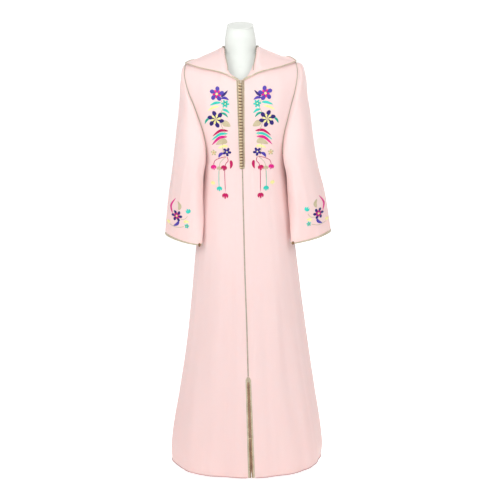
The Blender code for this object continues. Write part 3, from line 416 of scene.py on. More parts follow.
def spline(points, part):
    """A point of the smooth curve through a few points, part from 0 to 1."""
    place = min(max(part, 0.0), 1.0) * (len(points) - 1)
    low = min(int(place), len(points) - 2)
    part = place - low
    before = points[max(low - 1, 0)]
    start, end = points[low], points[low + 1]
    after = points[min(low + 2, len(points) - 1)]
    return 0.5 * (2 * start + (end - before) * part
                  + (2 * before - 5 * start + 4 * end - after) * part ** 2
                  + (3 * start - before - 3 * end + after) * part ** 3)


def unit(vectors):
    return vectors / np.maximum(np.linalg.norm(vectors, axis=-1, keepdims=True), 1e-12)


def flatten(normals, axis):
    """Normals turned into the plane across an axis."""
    out = normals.copy()
    out[..., axis] = 0.0
    return unit(out)


def run_of(points):
    """How far each point of a line is along it."""
    return np.concatenate([[0], np.cumsum(np.linalg.norm(np.diff(points, axis=0), axis=1))])


def resample(step, *lines):
    """Several lines at the same even steps along the first of them."""
    lines = [np.array([list(value) for value in line]) for line in lines]
    run = run_of(lines[0])
    places = np.linspace(0, run[-1], max(3, int(round(run[-1] / step)) + 1))
    return places, [np.stack([np.interp(places, run, line[:, axis]) for axis in range(3)], -1)
                    for line in lines]


# ---------------------------------------------------------------- the surface of the body
def front_centre(height):
    return row_at(FRONT_DRIFT, round(height, 4)).value


def centre_shift(face, height, share):
    section = row_at(BODY, height)
    start = row_at(FRONT_DRIFT, height).value if face == "front" else section.sway
    return mix(start, section.sway, share)


def slit_gap(height):
    return 0.5 * SLIT_WIDTH * max(0.0, (SLIT_TOP - height) / (SLIT_TOP - HEM_HEIGHT))


def near_hem(height, reach):
    """1 at the hem, and from there to a height above it down to 0."""
    return max(0.0, 1 - (height - HEM_HEIGHT) / reach) ** 2


def ring_point(face, side, share, height):
    """The body's outer surface up to the chest. share runs from the centre line to the edge."""
    section = row_at(BODY, height)
    exponent = section.squareness + HEM_ROUND * near_hem(height, HEM_ROUND_REACH)
    edge = section.half_width
    if height > UNDERARM_HEIGHT:
        edge = min(row_at(ARMHOLE, height).value, edge)
    angle = share * math.asin(min(1.0, (edge / section.half_width) ** (exponent / 2)))
    depth = section.front if face == "front" else section.back
    x = section.half_width * math.sin(angle) ** (2 / exponent)
    y = depth * abs(math.cos(angle)) ** (2 / exponent)
    round_angle = angle if face == "front" else math.pi - angle
    x *= 1 - HEM_TUCK[side] * near_hem(height, HEM_TUCK_REACH)
    fold = FOLD_DEPTH * section.fold * sum(part * math.cos(count * round_angle)
                                           for part, count in FOLDS)
    if fold < 0:
        fold *= 1 - FLAT_SHARE * bell(angle, FLAT_ANGLE, FLAT_WIDTH)
    x += fold * math.sin(angle)
    y += fold * math.cos(angle)
    if face == "front":
        x += slit_gap(height) * (1 - share) ** 6
    lift = HEM_LIFT[side] * share ** 1.5 * near_hem(height, HEM_LIFT_REACH)
    return Vector((SIDES[side] * x + centre_shift(face, height, share), FACES[face] * y,
                   height + lift))


def shoulder_sag(x):
    """How far the shoulder line hangs below a straight one."""
    part = (abs(x) - NECK_POINT.x) / (SHOULDER_TIP.x - NECK_POINT.x)
    return SHOULDER_SAG * max(0.0, 4 * part * (1 - part))


def top_point(face, share):
    """Where a column would end on a high round neckline or on the shoulder seam."""
    if share >= NECK_SHARE:
        point = NECK_POINT.lerp(SHOULDER_TIP, (share - NECK_SHARE) / (1 - NECK_SHARE))
        point.z -= shoulder_sag(point.x)
        return point
    base = NECK_BASES[face]
    turn = share / NECK_SHARE * math.pi / 2
    return Vector((NECK_POINT.x * math.sin(turn), base.y * math.cos(turn),
                   mix(base.z, NECK_POINT.z, 1 - math.cos(turn))))


def shoulder_point(face, side, share, rise):
    """The surface above the chest. rise is the share of the height up to the column's end."""
    start = ring_point(face, "left", share, CHEST_HEIGHT)
    end = top_point(face, share)
    run = 1 - (1 - rise ** SHOULDER_ROUNDNESS) ** (1 / SHOULDER_ROUNDNESS)
    shift = centre_shift(face, CHEST_HEIGHT, share)
    edge_line = mix(row_at(ARMHOLE, CHEST_HEIGHT).value, SHOULDER_TIP.x, rise)
    edge_height = mix(CHEST_HEIGHT, SHOULDER_TIP.z, rise)
    x = mix(start.x - shift, end.x, rise)
    x += share ** 3 * (row_at(ARMHOLE, edge_height).value - edge_line)
    return Vector((SIDES[side] * x + shift * (1 - rise) ** 2, mix(start.y, end.y, run),
                   mix(CHEST_HEIGHT, end.z, rise)))


@lru_cache(maxsize=None)
def neckline_rise(side, share):
    """How far up its column the V of the neckline cuts the front."""
    low, high = 0.0, 1.0
    for _ in range(20):
        middle = (low + high) / 2
        point = shoulder_point("front", "left", share, middle)
        if point.z < row_at(NECKLINES[side], point.x).value:
            low = middle
        else:
            high = middle
    return low


# ---------------------------------------------------------------- relief of the cloth
def crease_height(creases, x, z):
    """The sum of a list of soft creases at a point of the front view."""
    total = 0.0
    for crease in creases:
        run_x, run_z = crease.x1 - crease.x0, crease.z1 - crease.z0
        part = ((x - crease.x0) * run_x + (z - crease.z0) * run_z) / (run_x ** 2 + run_z ** 2)
        if -0.3 < part < 1.3:
            bow = 0.6 * crease.width * math.sin(part * 5.0 + crease.x0 * 40)
            off = abs(x - crease.x0 - part * run_x + bow) / crease.width
            if off < 2.5:
                ends = ease((part + 0.3) / 0.6) * ease((1.3 - part) / 0.6)
                total += crease.depth * ends * math.exp(-off * off)
    return total


def panel_relief(face, point, share):
    """How far the cloth of a panel stands off its plain form at a point."""
    x, y, z = point
    front = face == "front"
    angle = math.atan2(x, abs(y)) + (0.0 if front else 3.0)
    low = min(1.0, max(0.0, (1.15 - z) / 1.1))
    out = rough(0.0034 * low, angle * 3.4, z * 0.9, 1.7)
    out += rough(0.0005 + 0.0016 * low, angle * 9.0, z * 1.6, 7.1)
    out += rough(0.0004, x * 46, z * 30, 3.3 if front else 8.9)
    out += crease_height(FRONT_CREASES if front else BACK_CREASES, x, z)
    return out * ease((1 - share) / EDGE_FADE)


def sleeve_relief(side, place, turn):
    """Soft long folds of a sleeve, which fade in below the armhole."""
    seed = 2.0 if side == "left" else 6.0
    down = ease(place / 0.35)
    out = 0.0
    for depth, around, along in ((0.0042 * down, 2.2, 1.5), (0.0020 * down, 5, 2.2),
                                 (0.0005, 12, 14)):
        out += rough(depth, math.cos(turn) * around, math.sin(turn) * around,
                     place * along + seed)
    near = ease(place / 0.03) * ease((0.5 - place) / 0.4)
    out += near * 0.0024 * math.sin(5 * turn + 6 * place + seed) * max(0.0, math.cos(turn))
    return out * ease((1 - place) / 0.02 + 0.35)


def hood_relief(place, part):
    """Soft folds that run from the seam over the hood, deeper in the bag behind."""
    out = rough(0.0024 * ease((place - 0.45) / 0.3), place * 9.0, part * 1.6, 4.2)
    out += rough(0.0010, place * 16.0, part * 2.2, 9.4)
    out += 0.0012 * math.sin(place * 30 + part * 3) * ease(part / 0.3) * ease((1 - part) / 0.25)
    return out * ease(part / 0.1) * ease((1 - part) / 0.08) * ease((1 - place) / 0.06)


def seam_pull(height, along):
    """The slight unevenness that stitches leave beside a seam."""
    return -0.0005 * math.exp(-along / 0.004) * (1 + 0.6 * math.sin(height * 520))


# ---------------------------------------------------------------- grids of points
def grid_faces(rows, columns, wrap):
    """Corner indices of a grid's faces."""
    index = np.arange(rows * columns).reshape(rows, columns)
    if wrap:
        index = np.hstack([index, index[:, :1]])
    return index, np.stack([index[:-1, :-1], index[:-1, 1:], index[1:, 1:], index[1:, :-1]],
                           axis=-1).reshape(-1, 4)


def grid_normals(grid, wrap, outward):
    """Unit normals of a grid of points. outward tells their side at the grid's middle."""
    along = np.gradient(grid, axis=0)
    if wrap:
        across = np.roll(grid, -1, axis=1) - np.roll(grid, 1, axis=1)
    else:
        across = np.gradient(grid, axis=1)
    normals = np.cross(along, across)
    normals /= np.maximum(np.linalg.norm(normals, axis=2, keepdims=True), 1e-12)
    middle = normals[grid.shape[0] // 2, grid.shape[1] // 2]
    return normals if middle.dot(np.array(outward)) > 0 else -normals


def tube_normals(grid):
    """Normals of a tube of rings, pointing away from its middle line."""
    ring = grid[len(grid) // 2]
    return grid_normals(grid, True, ring[grid.shape[1] // 2] - ring[0])


def smooth_grid(grid, rounds, wrap, keep_rows):
    """Evens out a grid of points, keeping some rows and, on an open grid, its side columns."""
    for _ in range(rounds):
        across, along = grid.copy(), grid.copy()
        if wrap:
            across = (np.roll(grid, 1, axis=1) + np.roll(grid, -1, axis=1)) / 2
        else:
            across[:, 1:-1] = (grid[:, 2:] + grid[:, :-2]) / 2
        along[1:-1] = (grid[2:] + grid[:-2]) / 2
        new = grid * 0.5 + across * 0.25 + along * 0.25
        for row in keep_rows:
            new[row] = grid[row]
        if not wrap:
            new[:, 0], new[:, -1] = grid[:, 0], grid[:, -1]
        grid = new
    return grid


# ---------------------------------------------------------------- panels
@lru_cache(maxsize=None)
def row_heights():
    heights = [HEM_HEIGHT]
    for low, high, steps in ROW_STEPS:
        heights += [mix(low, high, k / steps) for k in range(1, steps + 1)]
    return heights


def underarm_row():
    return row_heights().index(UNDERARM_HEIGHT)


def half_panel(face, side):
    """The plain outer points of half a panel: rows up from the hem, columns from the centre."""
    shares = [j / PANEL_COLUMNS for j in range(PANEL_COLUMNS + 1)]
    neck = round(NECK_SHARE * PANEL_COLUMNS)
    rows = [[ring_point(face, side, share, height) for share in shares]
            for height in row_heights()]
    limits = [neckline_rise(side, share) if face == "front" and j < neck else 1.0
              for j, share in enumerate(shares)]
    for step in range(1, UPPER_STEPS + 1):
        turn = math.sin(math.pi / 2 * step / UPPER_STEPS)
        rows.append([shoulder_point(face, side, share, limit * turn)
                     for share, limit in zip(shares, limits)])
    for i in range(underarm_row() + 1):
        rows[i][-1].y = FACES[face] * SEAM / 2
    for j in range(neck, PANEL_COLUMNS + 1):
        rows[-1][j].y = FACES[face] * SEAM / 2
    if face == "front":
        for line in rows:
            line[0].x += SIDES[side] * SEAM / 2
    return np.array(rows)


@lru_cache(maxsize=None)
def panel_grid(name):
    """The outer points of a panel with its relief: front_left, front_right or back."""
    face, _, side = name.partition("_")
    shares = np.arange(PANEL_COLUMNS + 1) / PANEL_COLUMNS
    if face == "front":
        grid = half_panel("front", side)
    else:
        right, left = half_panel("back", "right"), half_panel("back", "left")
        grid = np.concatenate([right[:, ::-1], left[:, 1:]], axis=1)
        shares = np.concatenate([shares[::-1], shares[1:]])
    normals = grid_normals(grid, False, (0.0, FACES[face], 0.0))
    rows, columns = grid.shape[:2]
    out = np.zeros((rows, columns, 1))
    for i, j in np.ndindex(rows, columns):
        point = Vector(grid[i, j])
        relief = panel_relief(face, point, shares[j]) * ease((rows - 1 - i) / TOP_FADE_ROWS)
        if face == "front":
            centre = abs(point.x - front_centre(point.z))
            relief = relief * ease(centre / CENTRE_FADE) + seam_pull(point.z, centre)
        out[i, j] = relief
    return grid + normals * out


def panel_normals(name):
    return grid_normals(panel_grid(name), False, (0.0, FACES[name.split("_")[0]], 0.0))


@lru_cache(maxsize=None)
def tree_of(name):
    """A search tree of the faces of a sleeve, or of a panel, whose faces all face outwards."""
    kind, _, side = name.partition("_")
    grid = sleeve_rings(side) if kind == "sleeve" else panel_grid(name)
    _, faces = grid_faces(*grid.shape[:2], kind == "sleeve")
    a, b, _, d = grid.reshape(-1, 3)[faces[len(faces) // 2]]
    if kind != "sleeve" and np.cross(b - a, d - a)[1] * FACES[kind] < 0:
        faces = faces[:, ::-1]
    return BVHTree.FromPolygons(grid.reshape(-1, 3).tolist(), faces.tolist())


def seen_at(x, height, *names):
    """The point of some pieces that is seen from the front, and its normal."""
    for name in names:
        point, normal, _, _ = tree_of(name).ray_cast(Vector((x, -1.0, height)),
                                                     Vector((0.0, 1.0, 0.0)))
        if point:
            return point, normal if normal.y < 0 else -normal
    raise ValueError("no %s at x %.4f, height %.4f" % (" or ".join(names), x, height))


def front_at(x, height):
    return seen_at(x, height, "front_left", "front_right")


def lift_off(point, lift, open_edges=False):
    """A point, moved off the nearest panel where it would be nearer to it than lift."""
    for _ in range(2):
        near, normal, _, distance = min((tree_of(name).find_nearest(point) for name in PANELS),
                                        key=lambda found: found[3])
        height = (point - near).dot(normal)
        if open_edges and abs(height) < EDGE_COSINE * distance:
            point = near + (point - near) * max(1.0, lift / distance)
        elif height < 0 or distance < lift:
            point = point + normal * (lift - height)
    return point


# ---------------------------------------------------------------- meshes
def new_object(name, data):
    out = bpy.data.objects.new(name, data)
    bpy.context.scene.collection.objects.link(out)
    return out


def piece(name, parts, look, nodes=(), sharp=60):
    """A smooth-shaded piece of closed parts, which rides on the one body."""
    verts, faces = [], []
    for points, polygons in parts:
        faces += [[int(index) + len(verts) for index in polygon] for polygon in polygons]
        verts += np.asarray(points).tolist()
    mesh = bpy.data.meshes.new(name)
    mesh.from_pydata(verts, [], faces)
    mesh.validate()
    mesh.shade_smooth()
    mesh.set_sharp_from_angle(angle=math.radians(sharp))
    mesh.materials.append(LOOKS[look])
    out = new_object(name, mesh)
    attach(out, "root")
    if nodes:
        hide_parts(*nodes)
    return out


def trim(name, look, part):
    """A trim that stands for the CAD node of the same name."""
    piece(name + "_trim", [part], look, [name], 70)


def cloth(name, outer, normals, wrap):
    """A piece of cloth for the CAD node of that name: a closed wall inside a grid of points."""
    rows, columns = outer.shape[:2]
    count = rows * columns
    inner = outer - normals * WALL
    index, faces = grid_faces(rows, columns, wrap)
    borders = [np.stack([index[0, 1:], index[0, :-1]], -1),
               np.stack([index[-1, :-1], index[-1, 1:]], -1)]
    if not wrap:
        borders += [np.stack([index[:-1, 0], index[1:, 0]], -1),
                    np.stack([index[1:, -1], index[:-1, -1]], -1)]
    edges = np.concatenate(borders)
    sides = np.stack([edges[:, 0], edges[:, 1], edges[:, 1] + count, edges[:, 0] + count], -1)
    every = np.concatenate([faces, faces[:, ::-1] + count, sides])
    verts = np.concatenate([outer.reshape(-1, 3), inner.reshape(-1, 3)])
    a, b, _, d = faces[len(faces) // 2]
    if np.cross(verts[b] - verts[a], verts[d] - verts[a]).dot(verts[a] - verts[a + count]) < 0:
        every = every[:, ::-1]
    piece(name + "_cloth", [(verts, every)], "crepe", [name], 50)


def tube_data(rings):
    """Points and faces of a closed solid through rings of points, with flat ends."""
    rings = np.asarray(rings)
    rows, columns = rings.shape[:2]
    _, faces = grid_faces(rows, columns, True)
    verts = rings.reshape(-1, 3)
    a, b, _, d = faces[rows // 2 * columns]
    facing = np.cross(verts[b] - verts[a], verts[d] - verts[a])
    first = list(range(columns))
    last = list(range((rows - 1) * columns, rows * columns))
    every = faces.tolist() + [first[::-1], last]
    if facing.dot(verts[a] - rings[rows // 2].mean(axis=0)) < 0:
        every = [face[::-1] for face in every]
    return verts, every


def strip_data(sections):
    """A closed solid through sections, each a row of points on top and three at the bottom."""
    return tube_data([list(top) + [bottom[k] for k in (-1, len(bottom) // 2, 0)]
                      for top, bottom in sections])


def braid_strip(near, far, thickness, relief, columns=12):
    """A flat plaited strip between two lines of (point, normal) on the cloth.

    relief(s, t) is the share of the thickness at a place s along it and t from -1 to 1 across.
    """
    places, lines = resample(BRAID_STEP, *(line for edge in (near, far) for line in zip(*edge)))
    sections = []
    for place, near_at, near_out, far_at, far_out in zip(places, *lines):
        top, bottom = [], []
        for c in range(columns + 1):
            t = 2 * c / columns - 1
            at = mix(near_at, far_at, c / columns)
            out = unit(mix(near_out, far_out, c / columns))
            full = BRAID_EDGE + (1 - BRAID_EDGE) * (1 - abs(t) ** 3) * relief(place, t)
            top.append(at + out * (REST / 2 + thickness * full))
            bottom.append(at + out * REST / 4)
        sections.append((top, bottom))
    return strip_data(sections)


def plait(pitch, deep=0.45):
    """Relief of a flat plait: two rows of slanting stitches that meet in the middle."""
    def relief(s, t):
        phase = s / pitch + 0.9 * abs(t)
        strand = 0.5 + 0.5 * math.cos(2 * math.pi * phase + (math.pi if t > 0 else 0.0))
        return (1 - deep + deep * strand) * (1 - 0.55 * bell(t, 0.0, 0.16))
    return relief


def ribbed(count, pitch, deep):
    """Relief of a tape of several fine cords side by side."""
    def relief(s, t):
        cord = abs(math.sin(math.pi * count * (t + 1) / 2)) ** 0.6
        twist = 0.5 + 0.5 * math.cos(2 * math.pi * (s / pitch + 0.5 * count * t))
        return (1 - deep + deep * cord) * (0.86 + 0.14 * twist)
    return relief


def cord_tube(path, radius, pitch, sides=8, step=CORD_STEP):
    """A cord twisted from two strands, along a path."""
    places, (points,) = resample(step, path)
    along = unit(np.gradient(points, axis=0))
    guide = np.array([0.0, 0.0, 1.0]) if abs(along[0][2]) < 0.8 else np.array([1.0, 0.0, 0.0])
    rings = []
    for place, point, ahead in zip(places, points, along):
        guide = unit(guide - ahead * guide.dot(ahead))
        other = np.cross(ahead, guide)
        ring = []
        for turn in turns_of(sides):
            lobe = abs(math.cos(turn - 2 * math.pi * place / pitch))
            ring.append(point + (guide * math.cos(turn) + other * math.sin(turn))
                        * radius * (1 - CORD_GROOVE + CORD_GROOVE * lobe))
        rings.append(ring)
    return tube_data(rings)


def bead(centre, out, size, strands):
    """A knot wound from a cord: a plump bead with slanting strands."""
    around, along = 20, 14
    rings = []
    for i in range(along + 1):
        lat = math.pi * i / along
        ring = []
        for lon in turns_of(around):
            wound = 1 + 0.10 * math.cos(strands * lon + 5 * math.cos(lat)) * math.sin(lat) ** 0.5
            reach = max(math.sin(lat), 0.03) ** 0.75 * wound
            ring.append((-math.cos(lat) * size.x, reach * math.cos(lon) * size.y,
                         reach * math.sin(lon) * size.z))
        rings.append(ring)
    across = Vector((0.0, 0.0, 1.0)).cross(out).normalized()
    turn = np.array([list(across), list(out), list(out.cross(across).normalized())])
    return tube_data(np.array(rings) @ turn + np.array(list(centre)))


# ---------------------------------------------------------------- materials
def linear(red, green, blue):
    """Linear colour of an sRGB colour from 0 to 255."""
    return (*(value / 12.92 if value <= 0.04045 else ((value + 0.055) / 1.055) ** 2.4
              for value in (red / 255, green / 255, blue / 255)), 1.0)


# A kind of surface: its noises as scale, detail and stretch upwards, how much of each goes into
# the colour and into the height, where the dark and the light colour stand, the bump's strength
# and distance, and the values of its shader.
Kind = namedtuple("Kind", "noises colour height stops bump values")
KINDS = {
    "crepe": Kind(((5, 3, 0.45), (900, 2, 1), (420, 1, 0.28)), (0.75, 0.25, 0), (0, 0.6, 0.7),
                  (0.30, 0.70), (0.30, 0.00035),
                  dict(roughness=0.62, specular_ior_level=0.50, sheen_weight=0.18,
                       sheen_roughness=0.45, sheen_tint=linear(255, 236, 230),
                       subsurface_weight=0.35, subsurface_radius=(1.0, 0.5, 0.42),
                       subsurface_scale=0.012)),
    "thread": Kind(((1400, 2, 1), (60, 2, 1)), (0.6, 0.4), (1, 0), (0.34, 0.64), (0.2, 0.0002),
                   dict(roughness=0.50, specular_ior_level=0.25, sheen_weight=0.08,
                        sheen_roughness=0.35)),
    "cover": Kind(((9, 3, 1), (420, 3, 1)), (1, 0), (0, 1), (0.30, 0.70), (0.12, 0.0004),
                  dict(roughness=0.6, specular_ior_level=0.35)),
    "paint": Kind(((14, 3, 1), (600, 2, 1)), (1, 0), (0, 1), (0.25, 0.75), (0.08, 0.0002),
                  dict(roughness=0.35, specular_ior_level=0.5, coat_weight=0.3,
                       coat_roughness=0.25)),
    "floor": Kind(((3, 2, 1),), (1,), None, (0.3, 0.7), None,
                  dict(roughness=0.9, specular_ior_level=0.1,
                       emission_color=linear(255, 255, 255), emission_strength=0.90)),
}
KINDS["silk"] = KINDS["thread"]._replace(
    noises=((1100, 2, 1), (60, 2, 1)),
    values=dict(KINDS["thread"].values, roughness=0.38, sheen_weight=0.2))
KINDS["cap"] = KINDS["cover"]._replace(
    noises=((9, 3, 1), (260, 3, 1)), values=dict(KINDS["cover"].values, roughness=0.5))


def surface(kind, name, light, dark):
    """A material of one kind in two close colours."""
    kind = KINDS[kind]
    material = bpy.data.materials.new(name)
    material.use_nodes = True
    tree = material.node_tree
    shader = tree.nodes["Principled BSDF"]

    def fill(node, inputs):
        for key, value in inputs.items():
            if isinstance(value, bpy.types.NodeSocket):
                tree.links.new(value, node.inputs[key])
            else:
                node.inputs[key].default_value = value
        return node

    def add(node, output, inputs):
        return fill(tree.nodes.new("ShaderNode" + node), inputs).outputs[output]

    def blend(weights):
        """The sum of the noises, each by its weight."""
        total = None
        for socket, weight in zip(noises, weights):
            if weight:
                part = add("Math", "Value", {0: socket, 1: weight})
                part.node.operation = "MULTIPLY"
                total = add("Math", "Value", {0: total, 1: part}) if total else part
        return total

    place = add("TexCoord", "Object", {})
    noises = [add("TexNoise", "Fac", {
        "Scale": scale, "Detail": detail,
        "Vector": add("Mapping", "Vector", {"Vector": place, "Scale": (1, 1, stretch)})})
        for scale, detail, stretch in kind.noises]
    ramp = fill(tree.nodes.new("ShaderNodeValToRGB"), {"Fac": blend(kind.colour)})
    for element, stop, colour in zip(ramp.color_ramp.elements, kind.stops, (dark, light)):
        element.position, element.color = stop, linear(*colour)
    fill(shader, {key.replace("_", " ").title().replace("Ior", "IOR"): value
                  for key, value in kind.values.items()})
    fill(shader, {"Base Color": ramp.outputs["Color"]})
    if kind.bump:
        strength, distance = kind.bump
        fill(shader, {"Normal": add("Bump", "Normal", {
            "Height": blend(kind.height), "Strength": strength, "Distance": distance})})
    return material


LOOKS = {name: surface(*look) for name, look in {
    "crepe": ("crepe", "pink_crepe", (231, 196, 193), (226, 190, 187)),
    "braid": ("thread", "beige_braid", (196, 185, 163), (158, 146, 122)),
    "cord": ("thread", "olive_cord", (180, 171, 154), (146, 137, 118)),
    "knot": ("thread", "golden_knot", (212, 196, 164), (172, 146, 110)),
    # Brown of the loops and the cuff's tack, and also the painted groove shade on the placket.
    "loop": ("thread", "brown_loop_and_groove_shade", (132, 98, 66), (96, 66, 42)),
    "lacing": ("thread", "russet_lacing", (172, 128, 84), (98, 58, 42)),
    # The hem's roll is a darker rose than the cloth: painted shade along the hem's lower edge.
    "hem": ("thread", "hem_painted_shade", (190, 138, 139), (160, 108, 110)),
    "form": ("cover", "form_cover", (209, 213, 208), (204, 208, 203)),
    "cap": ("cap", "form_cap", (212, 215, 210), (206, 209, 204)),
    "stand": ("paint", "stand_paint", (228, 228, 224), (212, 212, 208)),
    **{name: ("silk", "silk_" + name, *colours) for name, colours in SILKS.items()},
}.items()}


# ---------------------------------------------------------------- cloth pieces
def panel(name):
    """A front or the back, with its seam edges kept in their own planes."""
    grid = panel_grid(name)
    normals = panel_normals(name)
    rows = underarm_row() + 1
    for j in (0, -1) if name == "back" else (-1,):
        normals[:rows, j] = flatten(normals[:rows, j], 1)
    on_seam = np.abs(grid[-1, :, 1]) < SEAM
    normals[-1][on_seam] = flatten(normals[-1][on_seam], 1)
    if name != "back":
        normals[:, 0] = flatten(normals[:, 0], 0)
    cloth(name, grid, normals, False)


@lru_cache(maxsize=None)
def armhole_line(side):
    """The armhole once round a panel edge: tip, front, underarm, back. With its turns."""
    base = underarm_row()
    front = panel_grid("front_" + side)[base:, -1][::-1]
    back = panel_grid("back")[base:, -1 if side == "left" else 0]
    line, turns = [], []
    for part, start in ((front, 0.0), (back, math.pi)):
        run = run_of(part)
        line += [Vector(point) for point in part[:-1]]
        turns += [start + math.pi * length / run[-1] for length in run[:-1]]
    return line, turns


def oval_point(side, place, turn):
    """A point of a sleeve's plain oval ring. turn 0 is its outer point, pi its inner one."""
    ring = row_at(SLEEVE, place)
    outer, inner = Vector(ring[1:4]), Vector(ring[4:7])
    puff = SLEEVE_PUFF[side] * bell(place, PUFF_PLACE, PUFF_SPREAD) * ease(place / PUFF_START)
    outer.x += puff + row_at(SLEEVE_OUTER[side], place).value
    inner.x += row_at(SLEEVE_INNER[side], place).value
    yaw = math.radians(ring.yaw)
    forward = Vector((math.sin(yaw), -math.cos(yaw), 0.0))
    point = ((outer + inner) / 2
             + (outer - inner) / 2 * power(math.cos(turn), 2 / ring.squareness)
             + forward * ring.depth * power(math.sin(turn), 2 / ring.squareness))
    point.x = SIDES[side] * point.x + row_at(SLEEVE_LEAN, round(point.z, 4)).value
    return point


@lru_cache(maxsize=None)
def sleeve_rings(side):
    """The outer points of a sleeve, ring by ring, from the armhole to the cuff."""
    line, turns = armhole_line(side)
    seam = Vector((SIDES[side] * 1.5 * SEAM, 0.0, 0.0))
    plain = [oval_point(side, 0.0, turn) for turn in turns]
    drop = SLEEVE[-2].out_z - SLEEVE[-1].out_z
    braid = CUFF_BRAID_WIDTH / drop * (SLEEVE[-1].place - SLEEVE[-2].place)
    places = spread(SLEEVE_RINGS - 3, braid)
    rings = []
    for place in places:
        fade = 1 - ease(place / ARMHOLE_FADE)
        rings.append([oval_point(side, place, turn) + (point + seam - start) * fade
                      for turn, point, start in zip(turns, line, plain)])
    grid = np.array(rings)
    normals = tube_normals(grid)
    relief = np.array([[sleeve_relief(side, place, turn) for turn in turns] for place in places])
    for i, j in np.argwhere(normals[:, :, 1] < -0.1):
        relief[i, j] += crease_height(SLEEVE_CREASES[side], grid[i, j, 0], grid[i, j, 2])
    relief[0] = 0.0
    grid = grid + normals * relief[:, :, None]
    for _ in range(2):
        for i in range(1, len(places)):
            clear = mix(*SLEEVE_CLEAR, ease(places[i] / 0.06))
            grid[i] = [lift_off(Vector(point), clear, open_edges=True) for point in grid[i]]
        grid = smooth_grid(grid, SLEEVE_SMOOTHING, True, (0, -1))
    return grid


def spread(count, braid):
    """Shares of a way from a seam, closer at the seam, that end with two rows for a braid."""
    return ([(k / count) ** CROWDING * (1 - braid) for k in range(count + 1)]
            + [1 - braid / 2, 1.0])


def sleeve(side):
    grid = sleeve_rings(side)
    normals = tube_normals(grid)
    normals[0] = flatten(grid[0] - grid[0].mean(axis=0), 0)
    cloth("sleeve_" + side, grid, normals, True)


def settle(x, y, z):
    """A point of the hood, on the front where its depth isn't given."""
    return Vector((x, front_at(x, z)[0].y if y is ON_FRONT else y, z))


@lru_cache(maxsize=None)
def settled_hood():
    """The hood's rows, each with the depths that its points have."""
    return [row._replace(seam_y=settle(*row[1:4]).y, mid_y=settle(*row[4:7]).y,
                         edge_y=settle(*row[7:10]).y) for row in HOOD]


def hood_section(side, place):
    """Points of one section of half the hood, as on the left, from the seam to the free edge."""
    row = row_at(settled_hood(), place)
    seam, middle = Vector(row[1:4]), Vector(row[4:7])
    rise = TIP_RISE[side] * bell(place, TIP_PLACE, TIP_SPREAD)
    edge = Vector((row.edge_x, row.edge_y, row.edge_z + rise))
    arch = Vector((0.0, 0.0, row.arch))
    puff = Vector((0.3 * row.puff, row.puff, 0.0))
    guides = [seam, seam.lerp(middle, 0.5) + arch, middle,
              middle.lerp(edge, 0.5) + arch + puff, edge]
    length = sum((b - a).length for a, b in zip(guides, guides[1:]))
    parts = spread(HOOD_STEPS - 2, min(HOOD_BRAID_WIDTH / length, 0.45))
    return [lift_off(spline(guides, part),
                     mix(HOOD_SEAM_LIFT, HOOD_LIFT, ease(part * length / HOOD_RISE)))
            for part in parts], parts


@lru_cache(maxsize=None)
def hood_grid(side):
    """The visible points of half the hood and their normals: rows from seam to free edge."""
    places = [k / HOOD_COLUMNS for k in range(HOOD_COLUMNS + 1)]
    sections = [hood_section(side, place) for place in places]
    grid = np.array([[list(section[i]) for section, _ in sections]
                     for i in range(HOOD_STEPS + 1)])
    grid[:, -1, 0] = SEAM / 2
    grid = smooth_grid(grid, HOOD_SMOOTHING, False, (0,))
    relief = np.array([[hood_relief(place, parts[i]) * (1 if side == "left" else 0.8)
                        for place, (_, parts) in zip(places, sections)]
                       for i in range(HOOD_STEPS + 1)])
    grid = grid + grid_normals(grid, False, (0.0, 0.0, 1.0)) * relief[:, :, None]
    for i in range(1, HOOD_STEPS + 1):
        for j in range(HOOD_COLUMNS + 1):
            point = lift_off(Vector(grid[i, j]), HOOD_SEAM_LIFT)
            point.x = max(point.x, SEAM / 2)
            grid[i, j] = point
    grid[1:, -1, 0] = SEAM / 2
    grid = grid * np.array([SIDES[side], 1.0, 1.0])
    normals = grid_normals(grid, False, (0.0, 0.0, 1.0))
    normals[:, -1] = flatten(normals[:, -1], 0)
    return grid, normals


# ---------------------------------------------------------------- trims
def hood_braid(side):
    lines = np.stack(hood_grid(side), axis=2)
    start = [1 - ease((j / HOOD_COLUMNS - 0.05) / 0.06) for j in range(HOOD_COLUMNS + 1)]
    near = mix(lines[-3], lines[1], np.array(start)[:, None, None])
    trim("hood_braid_" + side, "braid",
         braid_strip(near, lines[-1], HOOD_BRAID_THICKNESS, plait(PITCHES["hood_braid"])))


def neck_cord():
    first = round(0.15 * HOOD_COLUMNS)
    left, right = [(grid[0] + normals[0] * (NECK_CORD_RADIUS + REST / 2))[first:]
                   for grid, normals in map(hood_grid, SIDES)]
    path = np.concatenate([left, right[-2::-1]])
    trim("neck_cord", "cord", cord_tube(path, NECK_CORD_RADIUS, PITCHES["neck_cord"], 12))


def armhole_cord(side):
    line, _ = armhole_line(side)
    path = []
    for point, out in zip(line, tube_normals(sleeve_rings(side))[0]):
        name = "back" if point.y > SEAM else "front_" + side
        cloth_out = tree_of(name).find_nearest(point)[1]
        between = (Vector(out) + cloth_out).normalized()
        path.append(point + between * (ARMHOLE_CORD_RADIUS + REST)
                    / max(between.dot(cloth_out), 0.5))
    under = min(range(len(path)), key=lambda index: line[index].z)
    path = path[under + UNDERARM_GAP + 1:] + path[:under - UNDERARM_GAP]
    trim("armhole_cord_" + side, "cord",
         cord_tube(path, ARMHOLE_CORD_RADIUS, PITCHES["armhole_cord"], 12))


def cuff_braid(side):
    """The braid round the end of a sleeve, closed on itself."""
    grid = sleeve_rings(side)
    lines = np.stack([grid, tube_normals(grid)], axis=2)[[-3, -1]]
    near, far = np.concatenate([lines, lines[:, :1]], axis=1)
    trim("cuff_braid_" + side, "braid",
         braid_strip(near, far, CUFF_BRAID_THICKNESS, plait(PITCHES["cuff_braid"])))


